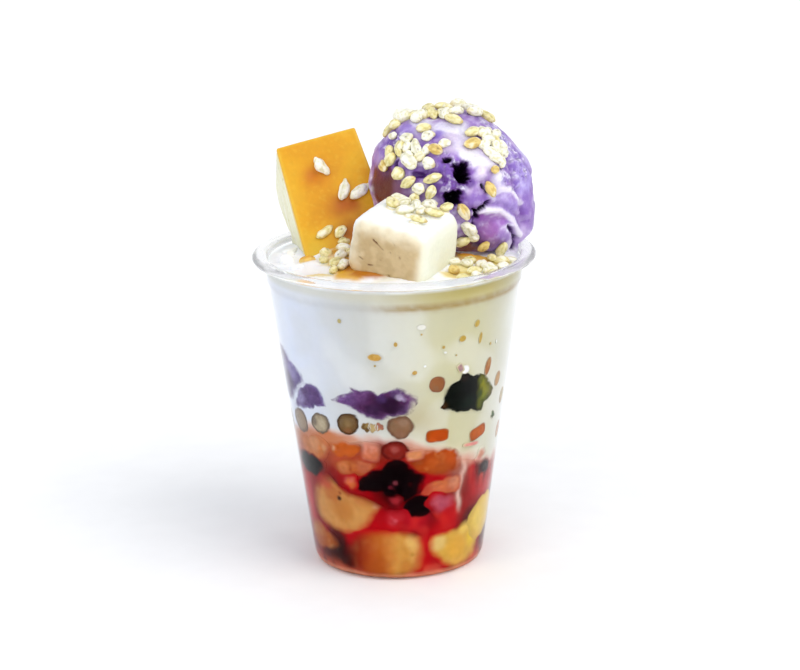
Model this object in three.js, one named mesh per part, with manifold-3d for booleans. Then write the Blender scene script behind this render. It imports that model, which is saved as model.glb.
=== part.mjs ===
// Halo-halo in a clear cup. From the base up: red syrup with banana, beans and fruit jelly, then
// milk with ube, tapioca pearls and green jelly, and on top a scoop of ube ice cream, a block of
// leche flan and a cube of coconut pudding, all scattered with toasted rice.
import * as THREE from 'three';
import { mergeVertices } from 'three/addons/utils/BufferGeometryUtils.js';
import Module from 'manifold-3d';

const wasm = await Module();
wasm.setup();

// Lengths are millimetres and angles degrees. The axis of the cup is Z and its base stands at
// z = 0. A turn is measured round an upright axis from the front (-Y) towards +X, a lift is
// measured up from level, and a level is a height above the table.
const gap = 0.3;

const cup = {
  height: 111,
  wall: 0.8,
  sides: 36,
  footInner: 19,
  footOuter: 26.5,
  recess: 1.6,
  cornerLevel: 3.4,
  cornerInset: 0.9,
  cornerInsetLevel: 1.2,
  baseRadius: 30,
  ledgeLevel: 101,
  ledgeRadius: 43.5,
  ledgeStep: 0.7,
  ledgeRise: 1,
  bandLevel: 108.4,
  bandRadius: 44.5,
  rimRadius: 49,
  rimThickness: 2.6,
  rimPoints: 6,
};

const filling = {
  seamLevel: 46,
  seamWave: 6,
  seamTurn: 20,
  seamTilt: 2.5,
  creamAtWall: 107.4,
  creamMound: 2.8,
  creamRipple: 0.35,
  rippleLength: 19,
};

const scoop = {
  centre: [18.9, 15, 130.4],
  radius: 26.4,
  detail: 5,
  unevenness: 0.55,
  lumps: [
    { turn: 85, lift: -4, spread: 32, height: 3.6 },
    { turn: 78, lift: -38, spread: 20, height: 7.5 },
    { turn: -92, lift: 14, spread: 26, height: 1 },
    { turn: -70, lift: 48, spread: 18, height: 1 },
    { turn: 20, lift: 62, spread: 20, height: 0.8 },
    { turn: 120, lift: -35, spread: 16, height: 4 },
    { turn: 170, lift: -25, spread: 14, height: 2 },
    { turn: 215, lift: -32, spread: 16, height: 2.6 },
    { turn: 150, lift: 25, spread: 20, height: 1 },
  ],
  hollows: [
    { turn: 6, lift: 21, wide: 7, high: 6, deep: 5 },
    { turn: 3, lift: 4, wide: 5.5, high: 6, deep: 5 },
    { turn: 21, lift: -13, wide: 4, high: 3.4, deep: 3.4 },
  ],
  curl: { turn: 50, lift: -33, reach: 25.5, wide: 18, high: 15, deep: 11 },
};

const flan = {
  topLeft: [-40.8, 26, 142.1],
  width: 29,
  bottomWider: 3.6,
  length: 44,
  depth: 23,
  turnLeft: 12.2,
  roll: 12,
  lean: 32.5,
  backSlant: 15,
  sideSlant: 4,
  caramel: 1.6,
  edge: 0.7,
  rice: [[13.2, 10.8], [18.3, 21.6], [22.9, 23.6], [7.7, 34.6], [12.9, 35.4], [2.8, 37.6]],
};

const pudding = {
  topCentre: [4.6, -21.4, 128.8],
  size: 28.6,
  height: 22,
  turnRight: 27.3,
  tiltBack: 6.1,
  tiltSide: 10.4,
  edge: 4.5,
  sag: 1.2,
  riceRows: 3,
  ricePerRow: 4,
  riceMiddle: [3, 5.5],
  riceSpacing: [5.6, 6],
};

const rice = { length: 7.6, width: 3.7, sunk: 0.28 };

// Toasted rice on the scoop lies in patches, and thins out round the back.
const ricePatches = [
  { turn: -38, lift: 38, spread: 24, count: 13 },
  { turn: -100, lift: 66, spread: 14, count: 5 },
  { turn: 100, lift: 79, spread: 12, count: 3 },
  { turn: 40, lift: 42, spread: 12, count: 5 },
  { turn: 32, lift: 3, spread: 1, count: 1 },
  { turn: 200, lift: 42, spread: 36, count: 5 },
];

// Toasted rice on the cream, as places on the flat.
const creamRice = [[20, -22.5], [24.5, -17.5], [28.5, -22], [36, -12.5], [-37, 0], [-20, -9], [-17, -2]];

// Sweets pressed against the wall. Each has its turn and level, its size along the wall, up and
// down, and into the cup, and a roll in the plane of the wall. The rear list gives how many more
// of the same kind lie round the back, and the band of levels that they lie in.
const sweets = [
  {
    name: 'ube_chunk', form: crag, sides: 13, colour: '#5d3f86', roughness: 0.7,
    front: [
      { turn: -80, level: 70.5, wide: 20, high: 20, deep: 9, roll: -15 },
      { turn: -51, level: 66.4, wide: 18, high: 10.5, deep: 9, roll: 12 },
      { turn: -12, level: 67, wide: 31, high: 13, deep: 12, roll: 0 },
    ],
    rear: { count: 2, low: 66, high: 70, wide: 22, tall: 12, deep: 10 },
  },
  {
    name: 'green_jelly', form: block, sides: 8, colour: '#1f2b12', roughness: 0.2,
    front: [{ turn: 40.5, level: 68, wide: 22, high: 13, deep: 11, roll: -8 }],
    rear: { count: 1, low: 69, high: 70, wide: 20, tall: 13, deep: 11 },
  },
  {
    name: 'tapioca_pearl', form: ball, sides: 9, colour: '#8d7f75', roughness: 0.25,
    front: [
      { turn: -84, level: 52.7, wide: 8.4, high: 8.6, deep: 8 },
      { turn: -64, level: 55.4, wide: 9, high: 9, deep: 8.6 },
      { turn: -45.5, level: 56.9, wide: 9.2, high: 8.6, deep: 8.6 },
      { turn: -27, level: 58.4, wide: 9.4, high: 8.8, deep: 8.6 },
      { turn: 2, level: 58, wide: 10.6, high: 8.8, deep: 8.8 },
      { turn: 20, level: 73.3, wide: 6.4, high: 6, deep: 6 },
    ],
    rear: { count: 3, low: 55, high: 59, wide: 9, tall: 9, deep: 9 },
  },
  {
    name: 'red_pearl', form: ball, sides: 9, colour: '#8a1f1c', roughness: 0.2,
    front: [{ turn: -1, level: 49.4, wide: 10, high: 8.6, deep: 9 }],
    rear: { count: 1, low: 49, high: 50, wide: 9.5, tall: 9, deep: 9 },
  },
  {
    name: 'fruit_jelly', form: block, sides: 8, colour: '#c95a22', roughness: 0.25,
    front: [
      { turn: -58, level: 47.4, wide: 17, high: 6.4, deep: 8, roll: -6 },
      { turn: -30.5, level: 48.4, wide: 14, high: 4.8, deep: 8, roll: 0 },
      { turn: 21.5, level: 45, wide: 21, high: 8.6, deep: 9, roll: 0 },
      { turn: -26, level: 41.4, wide: 19, high: 6.6, deep: 9, roll: 4 },
      { turn: 31, level: 35, wide: 17, high: 9, deep: 9, roll: 18 },
    ],
    rear: { count: 2, low: 43, high: 47, wide: 18, tall: 7.5, deep: 9 },
  },
  {
    name: 'sweet_bean', form: bean, sides: 9, colour: '#2a0a10', roughness: 0.3,
    front: [
      { turn: -62, level: 38.4, wide: 14, high: 7, deep: 8, roll: 10 },
      { turn: -6, level: 38.4, wide: 18, high: 9, deep: 9, roll: -8 },
      { turn: 12, level: 29.5, wide: 11, high: 7, deep: 8, roll: -12 },
      { turn: 64, level: 36.6, wide: 9, high: 6, deep: 6, roll: 0 },
    ],
    rear: { count: 2, low: 33, high: 37, wide: 13, tall: 8, deep: 8 },
  },
  {
    name: 'banana_slice', form: slice, sides: 12, colour: '#d8a94e', roughness: 0.4,
    front: [
      { turn: -36, level: 25.6, wide: 27, high: 21, deep: 11, roll: 20 },
      { turn: -9.5, level: 10, wide: 24, high: 16, deep: 13, roll: 0 },
      { turn: 41, level: 11.4, wide: 21, high: 17, deep: 12, roll: -20 },
      { turn: -62, level: 12.5, wide: 14, high: 13, deep: 11, roll: 0 },
      { turn: 70, level: 21, wide: 14, high: 15, deep: 11, roll: 0 },
    ],
    rear: { count: 3, low: 11, high: 24, wide: 24, tall: 17, deep: 11 },
  },
];

const colours = {
  cup: '#eef4f6', milk: '#efe9dc', syrup: '#a31220', scoop: '#9a7bd0', flan: '#f3e3b4',
  caramel: '#e39a1f', pudding: '#efe6cf',
};

// ---- helpers

const radians = THREE.MathUtils.degToRad;

function direction(turn, lift) {
  const across = Math.cos(radians(lift));
  return new THREE.Vector3(
    across * Math.sin(radians(turn)), -across * Math.cos(radians(turn)), Math.sin(radians(lift)));
}

// Draws numbers from 0 to 1 that are the same in each run.
function seeded(seed) {
  let state = seed;
  return () => {
    state = (state * 1664525 + 1013904223) % 4294967296;
    return state / 4294967296;
  };
}

// Moves each vertex of a geometry.
function shaped(geometry, move) {
  const place = geometry.attributes.position;
  const point = new THREE.Vector3();
  for (let i = 0; i < place.count; i++) {
    move(point.fromBufferAttribute(place, i));
    place.setXYZ(i, point.x, point.y, point.z);
  }
  return geometry;
}

function solidOf(geometry) {
  const plain = new THREE.BufferGeometry();
  plain.setAttribute('position', geometry.attributes.position);
  plain.setIndex(geometry.index);
  const merged = mergeVertices(plain, 1e-3);
  const corners = [];
  for (let i = 0; i < merged.index.count; i += 3) {
    const [a, b, c] = [0, 1, 2].map((k) => merged.index.getX(i + k));
    if (a !== b && b !== c && c !== a) corners.push(a, b, c);
  }
  return new wasm.Manifold(new wasm.Mesh({
    numProp: 3,
    vertProperties: Float32Array.from(merged.attributes.position.array),
    triVerts: Uint32Array.from(corners),
  }));
}

function geometryOf(solid) {
  const mesh = solid.getMesh();
  const geometry = new THREE.BufferGeometry();
  geometry.setAttribute('position', new THREE.BufferAttribute(mesh.vertProperties, 3));
  geometry.setIndex(new THREE.BufferAttribute(mesh.triVerts, 1));
  return geometry;
}

// A cut can leave scraps and a join can seal a hollow: only the largest outer shell is kept.
function largestBody(solid) {
  return solid.decompose().sort((a, b) => b.volume() - a.volume())[0];
}

function cutBy(solid, cutters) {
  return cutters.reduce((left, cutter) => left.subtract(cutter), solid);
}

// Revolves rows of [radius, level], the first and last on the axis, round Z.
function revolve(rows) {
  const profile = rows.map(([radius, level]) => new THREE.Vector2(radius, level));
  return new THREE.LatheGeometry(profile, cup.sides).rotateX(Math.PI / 2);
}

// ---- the cup

function wallRadius(level) {
  const share = (level - cup.cornerLevel) / (cup.ledgeLevel - cup.cornerLevel);
  return cup.baseRadius + share * (cup.ledgeRadius - cup.baseRadius);
}

// The wall leans out by this much, in radians.
const wallSlope = Math.atan2(cup.ledgeRadius - cup.baseRadius, cup.ledgeLevel - cup.cornerLevel);
const floorLevel = cup.wall;
const humpLevel = cup.recess + cup.wall;
const cornerInsideLevel = cup.cornerInsetLevel + cup.wall * 0.6;
const ledgeTop = cup.ledgeLevel + cup.ledgeRise;

// The inside of the cup from its middle to its rim, as [radius, level].
const insideRows = [
  [0, humpLevel],
  [cup.footInner - cup.wall, humpLevel],
  [cup.footInner + cup.wall, floorLevel],
  [cup.footOuter, floorLevel],
  [cup.baseRadius - cup.cornerInset - cup.wall, cornerInsideLevel],
  [cup.baseRadius - cup.wall, cup.cornerLevel],
  [cup.ledgeRadius - cup.wall, cup.ledgeLevel],
  [cup.ledgeRadius - cup.wall + cup.ledgeStep, ledgeTop],
  [cup.bandRadius - cup.wall, cup.bandLevel],
];

function makeCup() {
  const outsideRows = [
    [0, cup.recess],
    [cup.footInner - 1, cup.recess],
    [cup.footInner, 0],
    [cup.footOuter, 0],
    [cup.baseRadius - cup.cornerInset, cup.cornerInsetLevel],
    [cup.baseRadius, cup.cornerLevel],
    [cup.ledgeRadius, cup.ledgeLevel],
    [cup.ledgeRadius + cup.ledgeStep, ledgeTop],
    [cup.bandRadius, cup.bandLevel],
  ];
  const beadHalf = cup.rimThickness / 2;
  const beadReach = (cup.rimRadius - cup.bandRadius + cup.wall) / 2;
  const rimRows = [];
  for (let i = 0; i < cup.rimPoints; i++) {
    const angle = radians(-80 + (240 * i) / (cup.rimPoints - 1));
    rimRows.push([
      cup.rimRadius - beadReach + beadReach * Math.cos(angle),
      cup.height - beadHalf + beadHalf * Math.sin(angle),
    ]);
  }
  return solidOf(revolve([...outsideRows, ...rimRows, ...insideRows.toReversed()]));
}

// The radius of the cup's inside at a level, less the gap.
function fillRadius(level) {
  const rows = insideRows.slice(3);
  const above = rows.findIndex((row) => row[1] > level);
  if (above === 0) return rows[0][0] - gap;
  if (above < 0) return rows.at(-1)[0] - gap;
  const [[r0, z0], [r1, z1]] = [rows[above - 1], rows[above]];
  return r0 + ((level - z0) / (z1 - z0)) * (r1 - r0) - gap;
}

// What stands in the cream keeps clear of the wall and the rim.
const lowestDip = 70;
const pastRim = cup.rimRadius + 20;
const rimSpace = solidOf(revolve([
  [fillRadius(lowestDip), lowestDip],
  [pastRim, lowestDip],
  [pastRim, cup.height + gap],
  ...[cup.height + gap, cup.bandLevel, ledgeTop, cup.ledgeLevel, lowestDip].map(
    (level) => [fillRadius(level), level]),
]));

// ---- syrup and milk

// The milk meets the syrup in a wave: highest a little left of the front, lowest at the right.
function seamLevel(x, y) {
  const turn = Math.atan2(x, -y);
  const share = Math.min(1, Math.hypot(x, y) / wallRadius(filling.seamLevel));
  const wave = filling.seamWave * Math.cos(2 * turn + radians(filling.seamTurn));
  return filling.seamLevel + share * (wave - filling.seamTilt * Math.sin(turn));
}

// The top of the milk is mounded towards the middle, with soft ripples.
function creamLevel(x, y) {
  const share = Math.min(1, Math.hypot(x, y) / cup.bandRadius);
  const step = (2 * Math.PI) / filling.rippleLength;
  const ripple = Math.sin(x * step + 1) * Math.cos(y * step - 0.6);
  return filling.creamAtWall + (1 - share ** 2) * filling.creamMound + ripple * filling.creamRipple;
}

// Each row is [radius, level]; a level may be a surface over x and y, and a radius past the wall
// is brought in to it.
function pour(rows) {
  const numbered = rows.map(([radius], row) => [Math.min(radius, 1), row]);
  return solidOf(shaped(revolve(numbered), (point) => {
    const [radius, level] = rows[Math.round(point.z)];
    const turn = Math.atan2(point.x, -point.y);
    const levelAt = (r) => (typeof level === 'function'
      ? level(r * Math.sin(turn), -r * Math.cos(turn)) : level);
    let reach = Math.min(radius, cup.bandRadius);
    if (radius > 0) reach = Math.min(radius, fillRadius(levelAt(reach)));
    point.set(reach * Math.sin(turn), -reach * Math.cos(turn), levelAt(reach));
  }));
}

const wallEdge = pastRim;

function makeSyrup() {
  const top = (x, y) => seamLevel(x, y) - gap / 2;
  return pour([
    [0, humpLevel + gap], [cup.footInner - cup.wall - gap, humpLevel + gap],
    [cup.footInner + cup.wall, floorLevel + gap], [wallEdge, floorLevel + gap],
    [wallEdge, cornerInsideLevel + gap], [wallEdge, cup.cornerLevel + gap], [wallEdge, top],
    [30, top], [15, top], [0, top],
  ]);
}

function makeMilk() {
  const bottom = (x, y) => seamLevel(x, y) + gap / 2;
  return pour([
    [0, bottom], [15, bottom], [30, bottom], [wallEdge, bottom], [wallEdge, cup.ledgeLevel],
    [wallEdge, ledgeTop], [wallEdge, creamLevel],
    [36, creamLevel], [25, creamLevel], [12, creamLevel], [0, creamLevel],
  ]);
}

// ---- sweets against the wall

// Each form turns a point of the unit circle, across and up, into a point of its outline.
function ball(x, z) {
  return [x, z];
}

function block(x, z) {
  const squared = (value) => Math.sign(value) * Math.abs(value) ** 0.5;
  return [squared(x), squared(z)];
}

function bean(x, z) {
  return [x, z * (1 - 0.25 * x * x) + (z < 0 ? 0.35 * (1 - Math.abs(x)) : 0.1)];
}

function crag(x, z, seed) {
  const angle = Math.atan2(z, x);
  const swell = 1 + 0.12 * Math.sin(3 * angle + 1.7 * seed) + 0.09 * Math.sin(5 * angle + seed);
  return [x * swell, z * swell];
}

// A slice of banana is slightly three-sided.
function slice(x, z) {
  const bulge = 1 + 0.06 * Math.cos(3 * Math.atan2(z, x));
  return [x * bulge, z * bulge];
}

// The outline stands on the wall and the back rounds off into the cup. Grown for the space that
// a piece takes up, it also stands out past the wall.
function standing(kind, piece, seed, grow) {
  const outer = grow > 0 ? [[0, -0.5], [0.5, -0.5], [0.5, 0]] : [[0, 0], [0.5, 0]];
  const rows = [...outer, [0.42, 0.7], [0, 1]];
  const profile = rows.map(([radius, depth]) => new THREE.Vector2(radius, depth));
  const plug = shaped(new THREE.LatheGeometry(profile, kind.sides, Math.PI / kind.sides), (point) => {
    const radius = Math.hypot(point.x, point.z);
    if (radius === 0) return;
    const [x, z] = kind.form(point.x / radius, point.z / radius, seed);
    point.set(x * radius, point.y, z * radius);
  });
  return plug
    .scale(piece.wide + 2 * grow, piece.deep + grow, piece.high + 2 * grow)
    .rotateY(radians(piece.roll ?? 0))
    .rotateX(wallSlope)
    .translate(0, -fillRadius(piece.level), 0)
    .rotateZ(radians(piece.turn))
    .translate(0, 0, piece.level);
}

// The piece itself: what would be past the flat-sided wall or below the floor is flattened on it.
function pressed(kind, piece, seed) {
  const flattened = shaped(standing(kind, piece, seed, 0), (point) => {
    point.z = Math.max(point.z, floorLevel + gap);
    const turn = Math.atan2(point.x, -point.y);
    const side = (2 * Math.PI) / cup.sides;
    const offset = turn - side * (Math.floor(turn / side) + 0.5);
    const wall = (fillRadius(point.z) * Math.cos(side / 2)) / Math.cos(offset);
    const radius = Math.min(wall, Math.hypot(point.x, point.y));
    point.set(radius * Math.sin(turn), -radius * Math.cos(turn), point.z);
  });
  return solidOf(flattened).intersect(solidOf(standing(kind, piece, seed, gap / 2)));
}

// More pieces of a kind round the back, evenly spaced and then shaken.
function rearPieces(rear, seed) {
  const draw = seeded(seed);
  const pieces = [];
  for (let i = 0; i < rear.count; i++) {
    pieces.push({
      turn: 100 + (160 * (i + 0.5)) / rear.count + 14 * (draw() - 0.5),
      level: rear.low + (rear.high - rear.low) * ((i * 0.618 + 0.3 * draw()) % 1),
      wide: rear.wide * (0.9 + 0.2 * draw()),
      high: rear.tall * (0.9 + 0.2 * draw()),
      deep: rear.deep,
      roll: 24 * (draw() - 0.5),
    });
  }
  return pieces;
}

function makeSweets() {
  const made = [];
  const spaces = [];
  sweets.forEach((kind, kindIndex) => {
    const pieces = [...kind.front, ...rearPieces(kind.rear, 31 * kindIndex + 7)];
    pieces.forEach((piece, index) => {
      const solid = largestBody(cutBy(pressed(kind, piece, index), spaces));
      made.push({ kind, name: `${kind.name}_${index + 1}`, solid });
      spaces.push(solidOf(standing(kind, piece, index, gap)));
    });
  });
  return { made, spaces };
}

// ---- toppings

function riceGrain(place, outward, draw) {
  const grain = new THREE.IcosahedronGeometry(0.5).scale(rice.length, rice.width, rice.width);
  grain.rotateZ(Math.PI * draw());
  const upright = new THREE.Quaternion().setFromUnitVectors(new THREE.Vector3(0, 0, 1), outward);
  grain.applyQuaternion(upright);
  const centre = place.clone().addScaledVector(outward, rice.width * (0.5 - rice.sunk));
  return solidOf(grain.translate(centre.x, centre.y, centre.z));
}

// Fuses on the grains that are clear of the pieces nearby.
function withRice(solid, grains, nearby) {
  return largestBody(grains
    .filter((grain) => nearby.every((other) => grain.intersect(other).isEmpty()))
    .reduce((whole, grain) => whole.add(grain), solid));
}

// A block with soft edges, its lowest corner at the origin.
function softBlock(width, depth, height, edge, steps) {
  const outline = new THREE.Shape();
  const bevel = edge * 0.75;
  const corners = [[width - edge, edge, -90], [width - edge, height - edge, 0],
    [edge, height - edge, 90], [edge, edge, 180]];
  for (const [x, z, start] of corners) {
    outline.absarc(x, z, edge - bevel, radians(start), radians(start + 90));
  }
  const body = new THREE.ExtrudeGeometry(outline, {
    depth: depth - 2 * bevel, bevelThickness: bevel, bevelSize: bevel, bevelSegments: steps,
    curveSegments: steps,
  });
  return body.translate(0, 0, bevel).rotateX(Math.PI / 2).translate(0, depth, 0);
}

// Places what is made in the flan's own axes: x across its face, y into it, z up along it, from
// the top left corner of the face.
function setFlan(geometry) {
  shaped(geometry, (point) => {
    const down = -point.z / flan.length;
    const middle = flan.width / 2;
    point.x = middle + (point.x - middle) * (1 + (down * flan.bottomWider) / flan.width);
    point.x -= point.y * Math.tan(radians(flan.sideSlant));
    point.z -= point.y * Math.tan(radians(flan.backSlant));
  });
  const posture = new THREE.Quaternion().setFromEuler(new THREE.Euler(
    -radians(flan.lean), -radians(flan.roll), radians(flan.turnLeft), 'ZYX'));
  return geometry.applyQuaternion(posture).translate(...flan.topLeft);
}

function flanSlab(front, back, grow) {
  const slab = softBlock(
    flan.width + 2 * grow, back - front + 2 * grow, flan.length + 2 * grow, flan.edge, 1);
  return solidOf(setFlan(slab.translate(-grow, front - grow, -flan.length - grow)));
}

function flanRice() {
  const draw = seeded(5);
  const marker = (x, y, z) => {
    const point = setFlan(new THREE.BufferGeometry().setFromPoints([new THREE.Vector3(x, y, z)]));
    return new THREE.Vector3().fromBufferAttribute(point.attributes.position, 0);
  };
  const across = marker(1, 0, 0).sub(marker(0, 0, 0));
  const outward = across.cross(marker(0, 0, 0).sub(marker(0, 0, -1))).normalize();
  return flan.rice.map(([across, down]) => riceGrain(marker(across, 0, -down), outward, draw));
}

const puddingPosture = new THREE.Quaternion().setFromEuler(new THREE.Euler(
  radians(pudding.tiltBack), radians(pudding.tiltSide), -radians(pudding.turnRight), 'ZXY'));

function setPudding(geometry) {
  return geometry.applyQuaternion(puddingPosture).translate(...pudding.topCentre);
}

function puddingCube(grow) {
  const size = pudding.size + 2 * grow;
  const body = softBlock(size, size, pudding.height + 2 * grow, pudding.edge, 2)
    .translate(-size / 2, -size / 2, -pudding.height - grow);
  return solidOf(setPudding(shaped(body, (point) => {
    const low = -point.z / pudding.height;
    point.x *= 1 + (pudding.sag * low) / pudding.size;
    point.y *= 1 + (pudding.sag * low) / pudding.size;
  })));
}

function puddingRice() {
  const draw = seeded(11);
  const outward = new THREE.Vector3(0, 0, 1).applyQuaternion(puddingPosture);
  const grains = [];
  const along = (index, count, middle, spacing) => (
    middle + (index - (count - 1) / 2 + 0.5 * (draw() - 0.5)) * spacing);
  for (let row = 0; row < pudding.riceRows; row++) {
    for (let i = 0; i < pudding.ricePerRow; i++) {
      const x = along(i, pudding.ricePerRow, pudding.riceMiddle[0], pudding.riceSpacing[0]);
      const y = along(row, pudding.riceRows, pudding.riceMiddle[1], pudding.riceSpacing[1]);
      const place = new THREE.Vector3(x, y, 0).applyQuaternion(puddingPosture);
      grains.push(riceGrain(place.add(new THREE.Vector3(...pudding.topCentre)), outward, draw));
    }
  }
  return grains;
}

function scoopReach(way) {
  let reach = scoop.radius;
  for (const lump of scoop.lumps) {
    const apart = THREE.MathUtils.radToDeg(way.angleTo(direction(lump.turn, lump.lift)));
    reach += lump.height * Math.exp(-((apart / lump.spread) ** 2));
  }
  const swell = Math.sin(7 * way.x + 2 * way.z) * Math.cos(6 * way.y - 3 * way.z + 1);
  return reach + scoop.unevenness * (swell + 0.6 * Math.sin(13 * way.z + 5 * way.x));
}

function onScoop(turn, lift, reach) {
  return direction(turn, lift).multiplyScalar(reach).add(new THREE.Vector3(...scoop.centre));
}

function scoopLump(part, reach) {
  const { x, y, z } = onScoop(part.turn, part.lift, reach);
  const lump = new THREE.IcosahedronGeometry(0.5, 1)
    .scale(part.wide, part.deep, part.high)
    .rotateX(-radians(part.lift))
    .rotateZ(radians(part.turn));
  return solidOf(lump.translate(x, y, z));
}

function scoopBody(grow) {
  const dome = shaped(new THREE.IcosahedronGeometry(1, scoop.detail), (point) => {
    point.normalize().multiplyScalar(scoopReach(point) + grow);
    point.add(new THREE.Vector3(...scoop.centre));
  });
  const curl = { ...scoop.curl, wide: scoop.curl.wide + 2 * grow, high: scoop.curl.high + 2 * grow };
  return solidOf(dome).add(scoopLump(curl, scoop.curl.reach + grow));
}

function scoopRice() {
  const draw = seeded(23);
  const grains = [];
  for (const patch of ricePatches) {
    for (let i = 0; i < patch.count; i++) {
      const out = patch.spread * Math.sqrt((i + 0.5) / patch.count);
      const round = i * 2.4 + draw();
      const lift = patch.lift + out * Math.sin(round);
      const turn = patch.turn + (out * Math.cos(round)) / Math.cos(radians(Math.min(lift, 80)));
      const outward = direction(turn, lift);
      grains.push(riceGrain(onScoop(turn, lift, scoopReach(outward)), outward, draw));
    }
  }
  return grains;
}

function creamGrains() {
  const draw = seeded(41);
  const up = new THREE.Vector3(0, 0, 1);
  return creamRice.map(([x, y]) => riceGrain(new THREE.Vector3(x, y, creamLevel(x, y)), up, draw));
}

// ---- the model

const model = new THREE.Group();

function add(name, solid, colour, roughness, clear = {}) {
  const material = new THREE.MeshStandardMaterial({ color: colour, roughness, metalness: 0, ...clear });
  const mesh = new THREE.Mesh(geometryOf(solid), material);
  mesh.name = name;
  model.add(mesh);
}

const flanSpace = flanSlab(0, flan.depth, gap);
const puddingSpace = puddingCube(gap);
const scoopSpace = scoopBody(gap);
const { made, spaces } = makeSweets();

const syrup = largestBody(cutBy(makeSyrup(), spaces));
const milk = largestBody(cutBy(makeMilk(), [flanSpace, puddingSpace, scoopSpace, ...spaces]));
const custard = cutBy(flanSlab(flan.caramel + gap, flan.depth, 0), [rimSpace]);
const caramel = flanSlab(0, flan.caramel, 0);
const cube = cutBy(puddingCube(0), [rimSpace]);
const hollows = scoop.hollows.map((hollow) => scoopLump(hollow, scoop.radius));
const dome = largestBody(cutBy(scoopBody(0), [flanSpace, puddingSpace, rimSpace, ...hollows]));

const milkWithRice = withRice(milk, creamGrains(), [flanSpace, puddingSpace, scoopSpace, rimSpace]);
const domeWithRice = withRice(dome, scoopRice(), [flanSpace, puddingSpace, rimSpace, milk]);
const caramelWithRice = withRice(caramel, flanRice(), [puddingSpace, scoopSpace, milk, custard]);
const cubeWithRice = withRice(cube, puddingRice(), [flanSpace, scoopSpace, milk]);

add('cup', makeCup(), colours.cup, 0.1, { transparent: true, opacity: 0.35 });
add('syrup', syrup, colours.syrup, 0.2);
add('milk', milkWithRice, colours.milk, 0.4);
add('ube_scoop', domeWithRice, colours.scoop, 0.6);
add('leche_flan', custard, colours.flan, 0.5);
add('flan_caramel', caramelWithRice, colours.caramel, 0.25);
add('coconut_pudding', cubeWithRice, colours.pudding, 0.5);
for (const { kind, name, solid } of made) add(name, solid, kind.colour, kind.roughness);

export default model;
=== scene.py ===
# Halo-halo in a clear cup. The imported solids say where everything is, and the pieces made here
# stand for them with their real surfaces. Lengths are millimetres and angles degrees, as in the
# part's source: a turn is measured round an upright axis from the front (-Y) towards +X, a lift is
# measured up from level, and a level is a height above the table.
import math

import bpy
import numpy as np
from mathutils import Euler, Matrix, Vector, noise
from mathutils.bvhtree import BVHTree


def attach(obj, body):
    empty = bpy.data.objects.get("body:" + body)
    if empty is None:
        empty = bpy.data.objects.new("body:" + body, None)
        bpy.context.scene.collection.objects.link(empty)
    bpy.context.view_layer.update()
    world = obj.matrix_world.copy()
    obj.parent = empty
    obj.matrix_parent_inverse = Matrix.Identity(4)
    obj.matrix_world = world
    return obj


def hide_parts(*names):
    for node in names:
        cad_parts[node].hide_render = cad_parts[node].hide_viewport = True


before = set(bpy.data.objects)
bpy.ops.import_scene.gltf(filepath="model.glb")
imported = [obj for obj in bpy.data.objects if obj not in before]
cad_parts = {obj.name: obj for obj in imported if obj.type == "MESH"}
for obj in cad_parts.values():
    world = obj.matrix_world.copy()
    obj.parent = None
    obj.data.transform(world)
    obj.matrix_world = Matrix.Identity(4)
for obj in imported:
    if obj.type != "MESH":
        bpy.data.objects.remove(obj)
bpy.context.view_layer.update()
bpy.ops.object.select_all(action="DESELECT")

mm = 0.001
hair = 0.01  # millimetres, less than any step between two rows of points


# Small helpers that every piece uses.

def toLinear(hexColour):
    channels = [int(hexColour[i:i + 2], 16) / 255 for i in (1, 3, 5)]
    return [c / 12.92 if c <= 0.04045 else ((c + 0.055) / 1.055) ** 2.4 for c in channels] + [1.0]


def seeded(seed):
    # the same numbers from 0 to 1 as the part's source draws
    state = seed
    while True:
        state = (state * 1664525 + 1013904223) % 4294967296
        yield state / 4294967296


def smooth(value, low, high):
    share = np.clip((value - low) / (high - low), 0, 1)
    return share * share * (3 - 2 * share)


def near(distance, size):
    return np.exp(-(distance / size) ** 2)


def rough(points, size, seed=0):
    # soft noise from -1 to 1 whose bumps are about `size` millimetres apart
    shift = Vector((seed * 17.3, seed * 5.1, seed * 9.7))
    return np.array([noise.noise(Vector(p) / size + shift) for p in points])


def direction(turn, lift=0.0):
    turn, lift = np.broadcast_arrays(np.radians(turn), np.radians(lift))
    return np.stack([np.cos(lift) * np.sin(turn), -np.cos(lift) * np.cos(turn), np.sin(lift)], -1)


def turnOf(x, y):
    return np.degrees(np.arctan2(x, -y))


def nearTurn(turn, middle, spread):
    return near((turn - middle + 180) % 360 - 180, spread)


def activate(piece):
    bpy.ops.object.select_all(action="DESELECT")
    piece.select_set(True)
    bpy.context.view_layer.objects.active = piece


def whereIs(piece):
    flat = np.empty(len(piece.data.vertices) * 3)
    piece.data.vertices.foreach_get("co", flat)
    return flat.reshape(-1, 3) / mm


def moveTo(piece, points):
    piece.data.vertices.foreach_set("co", (points * mm).ravel())
    piece.data.update()


def normalsOf(piece):
    flat = np.empty(len(piece.data.vertices) * 3)
    piece.data.vertices.foreach_get("normal", flat)
    return flat.reshape(-1, 3)


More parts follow.
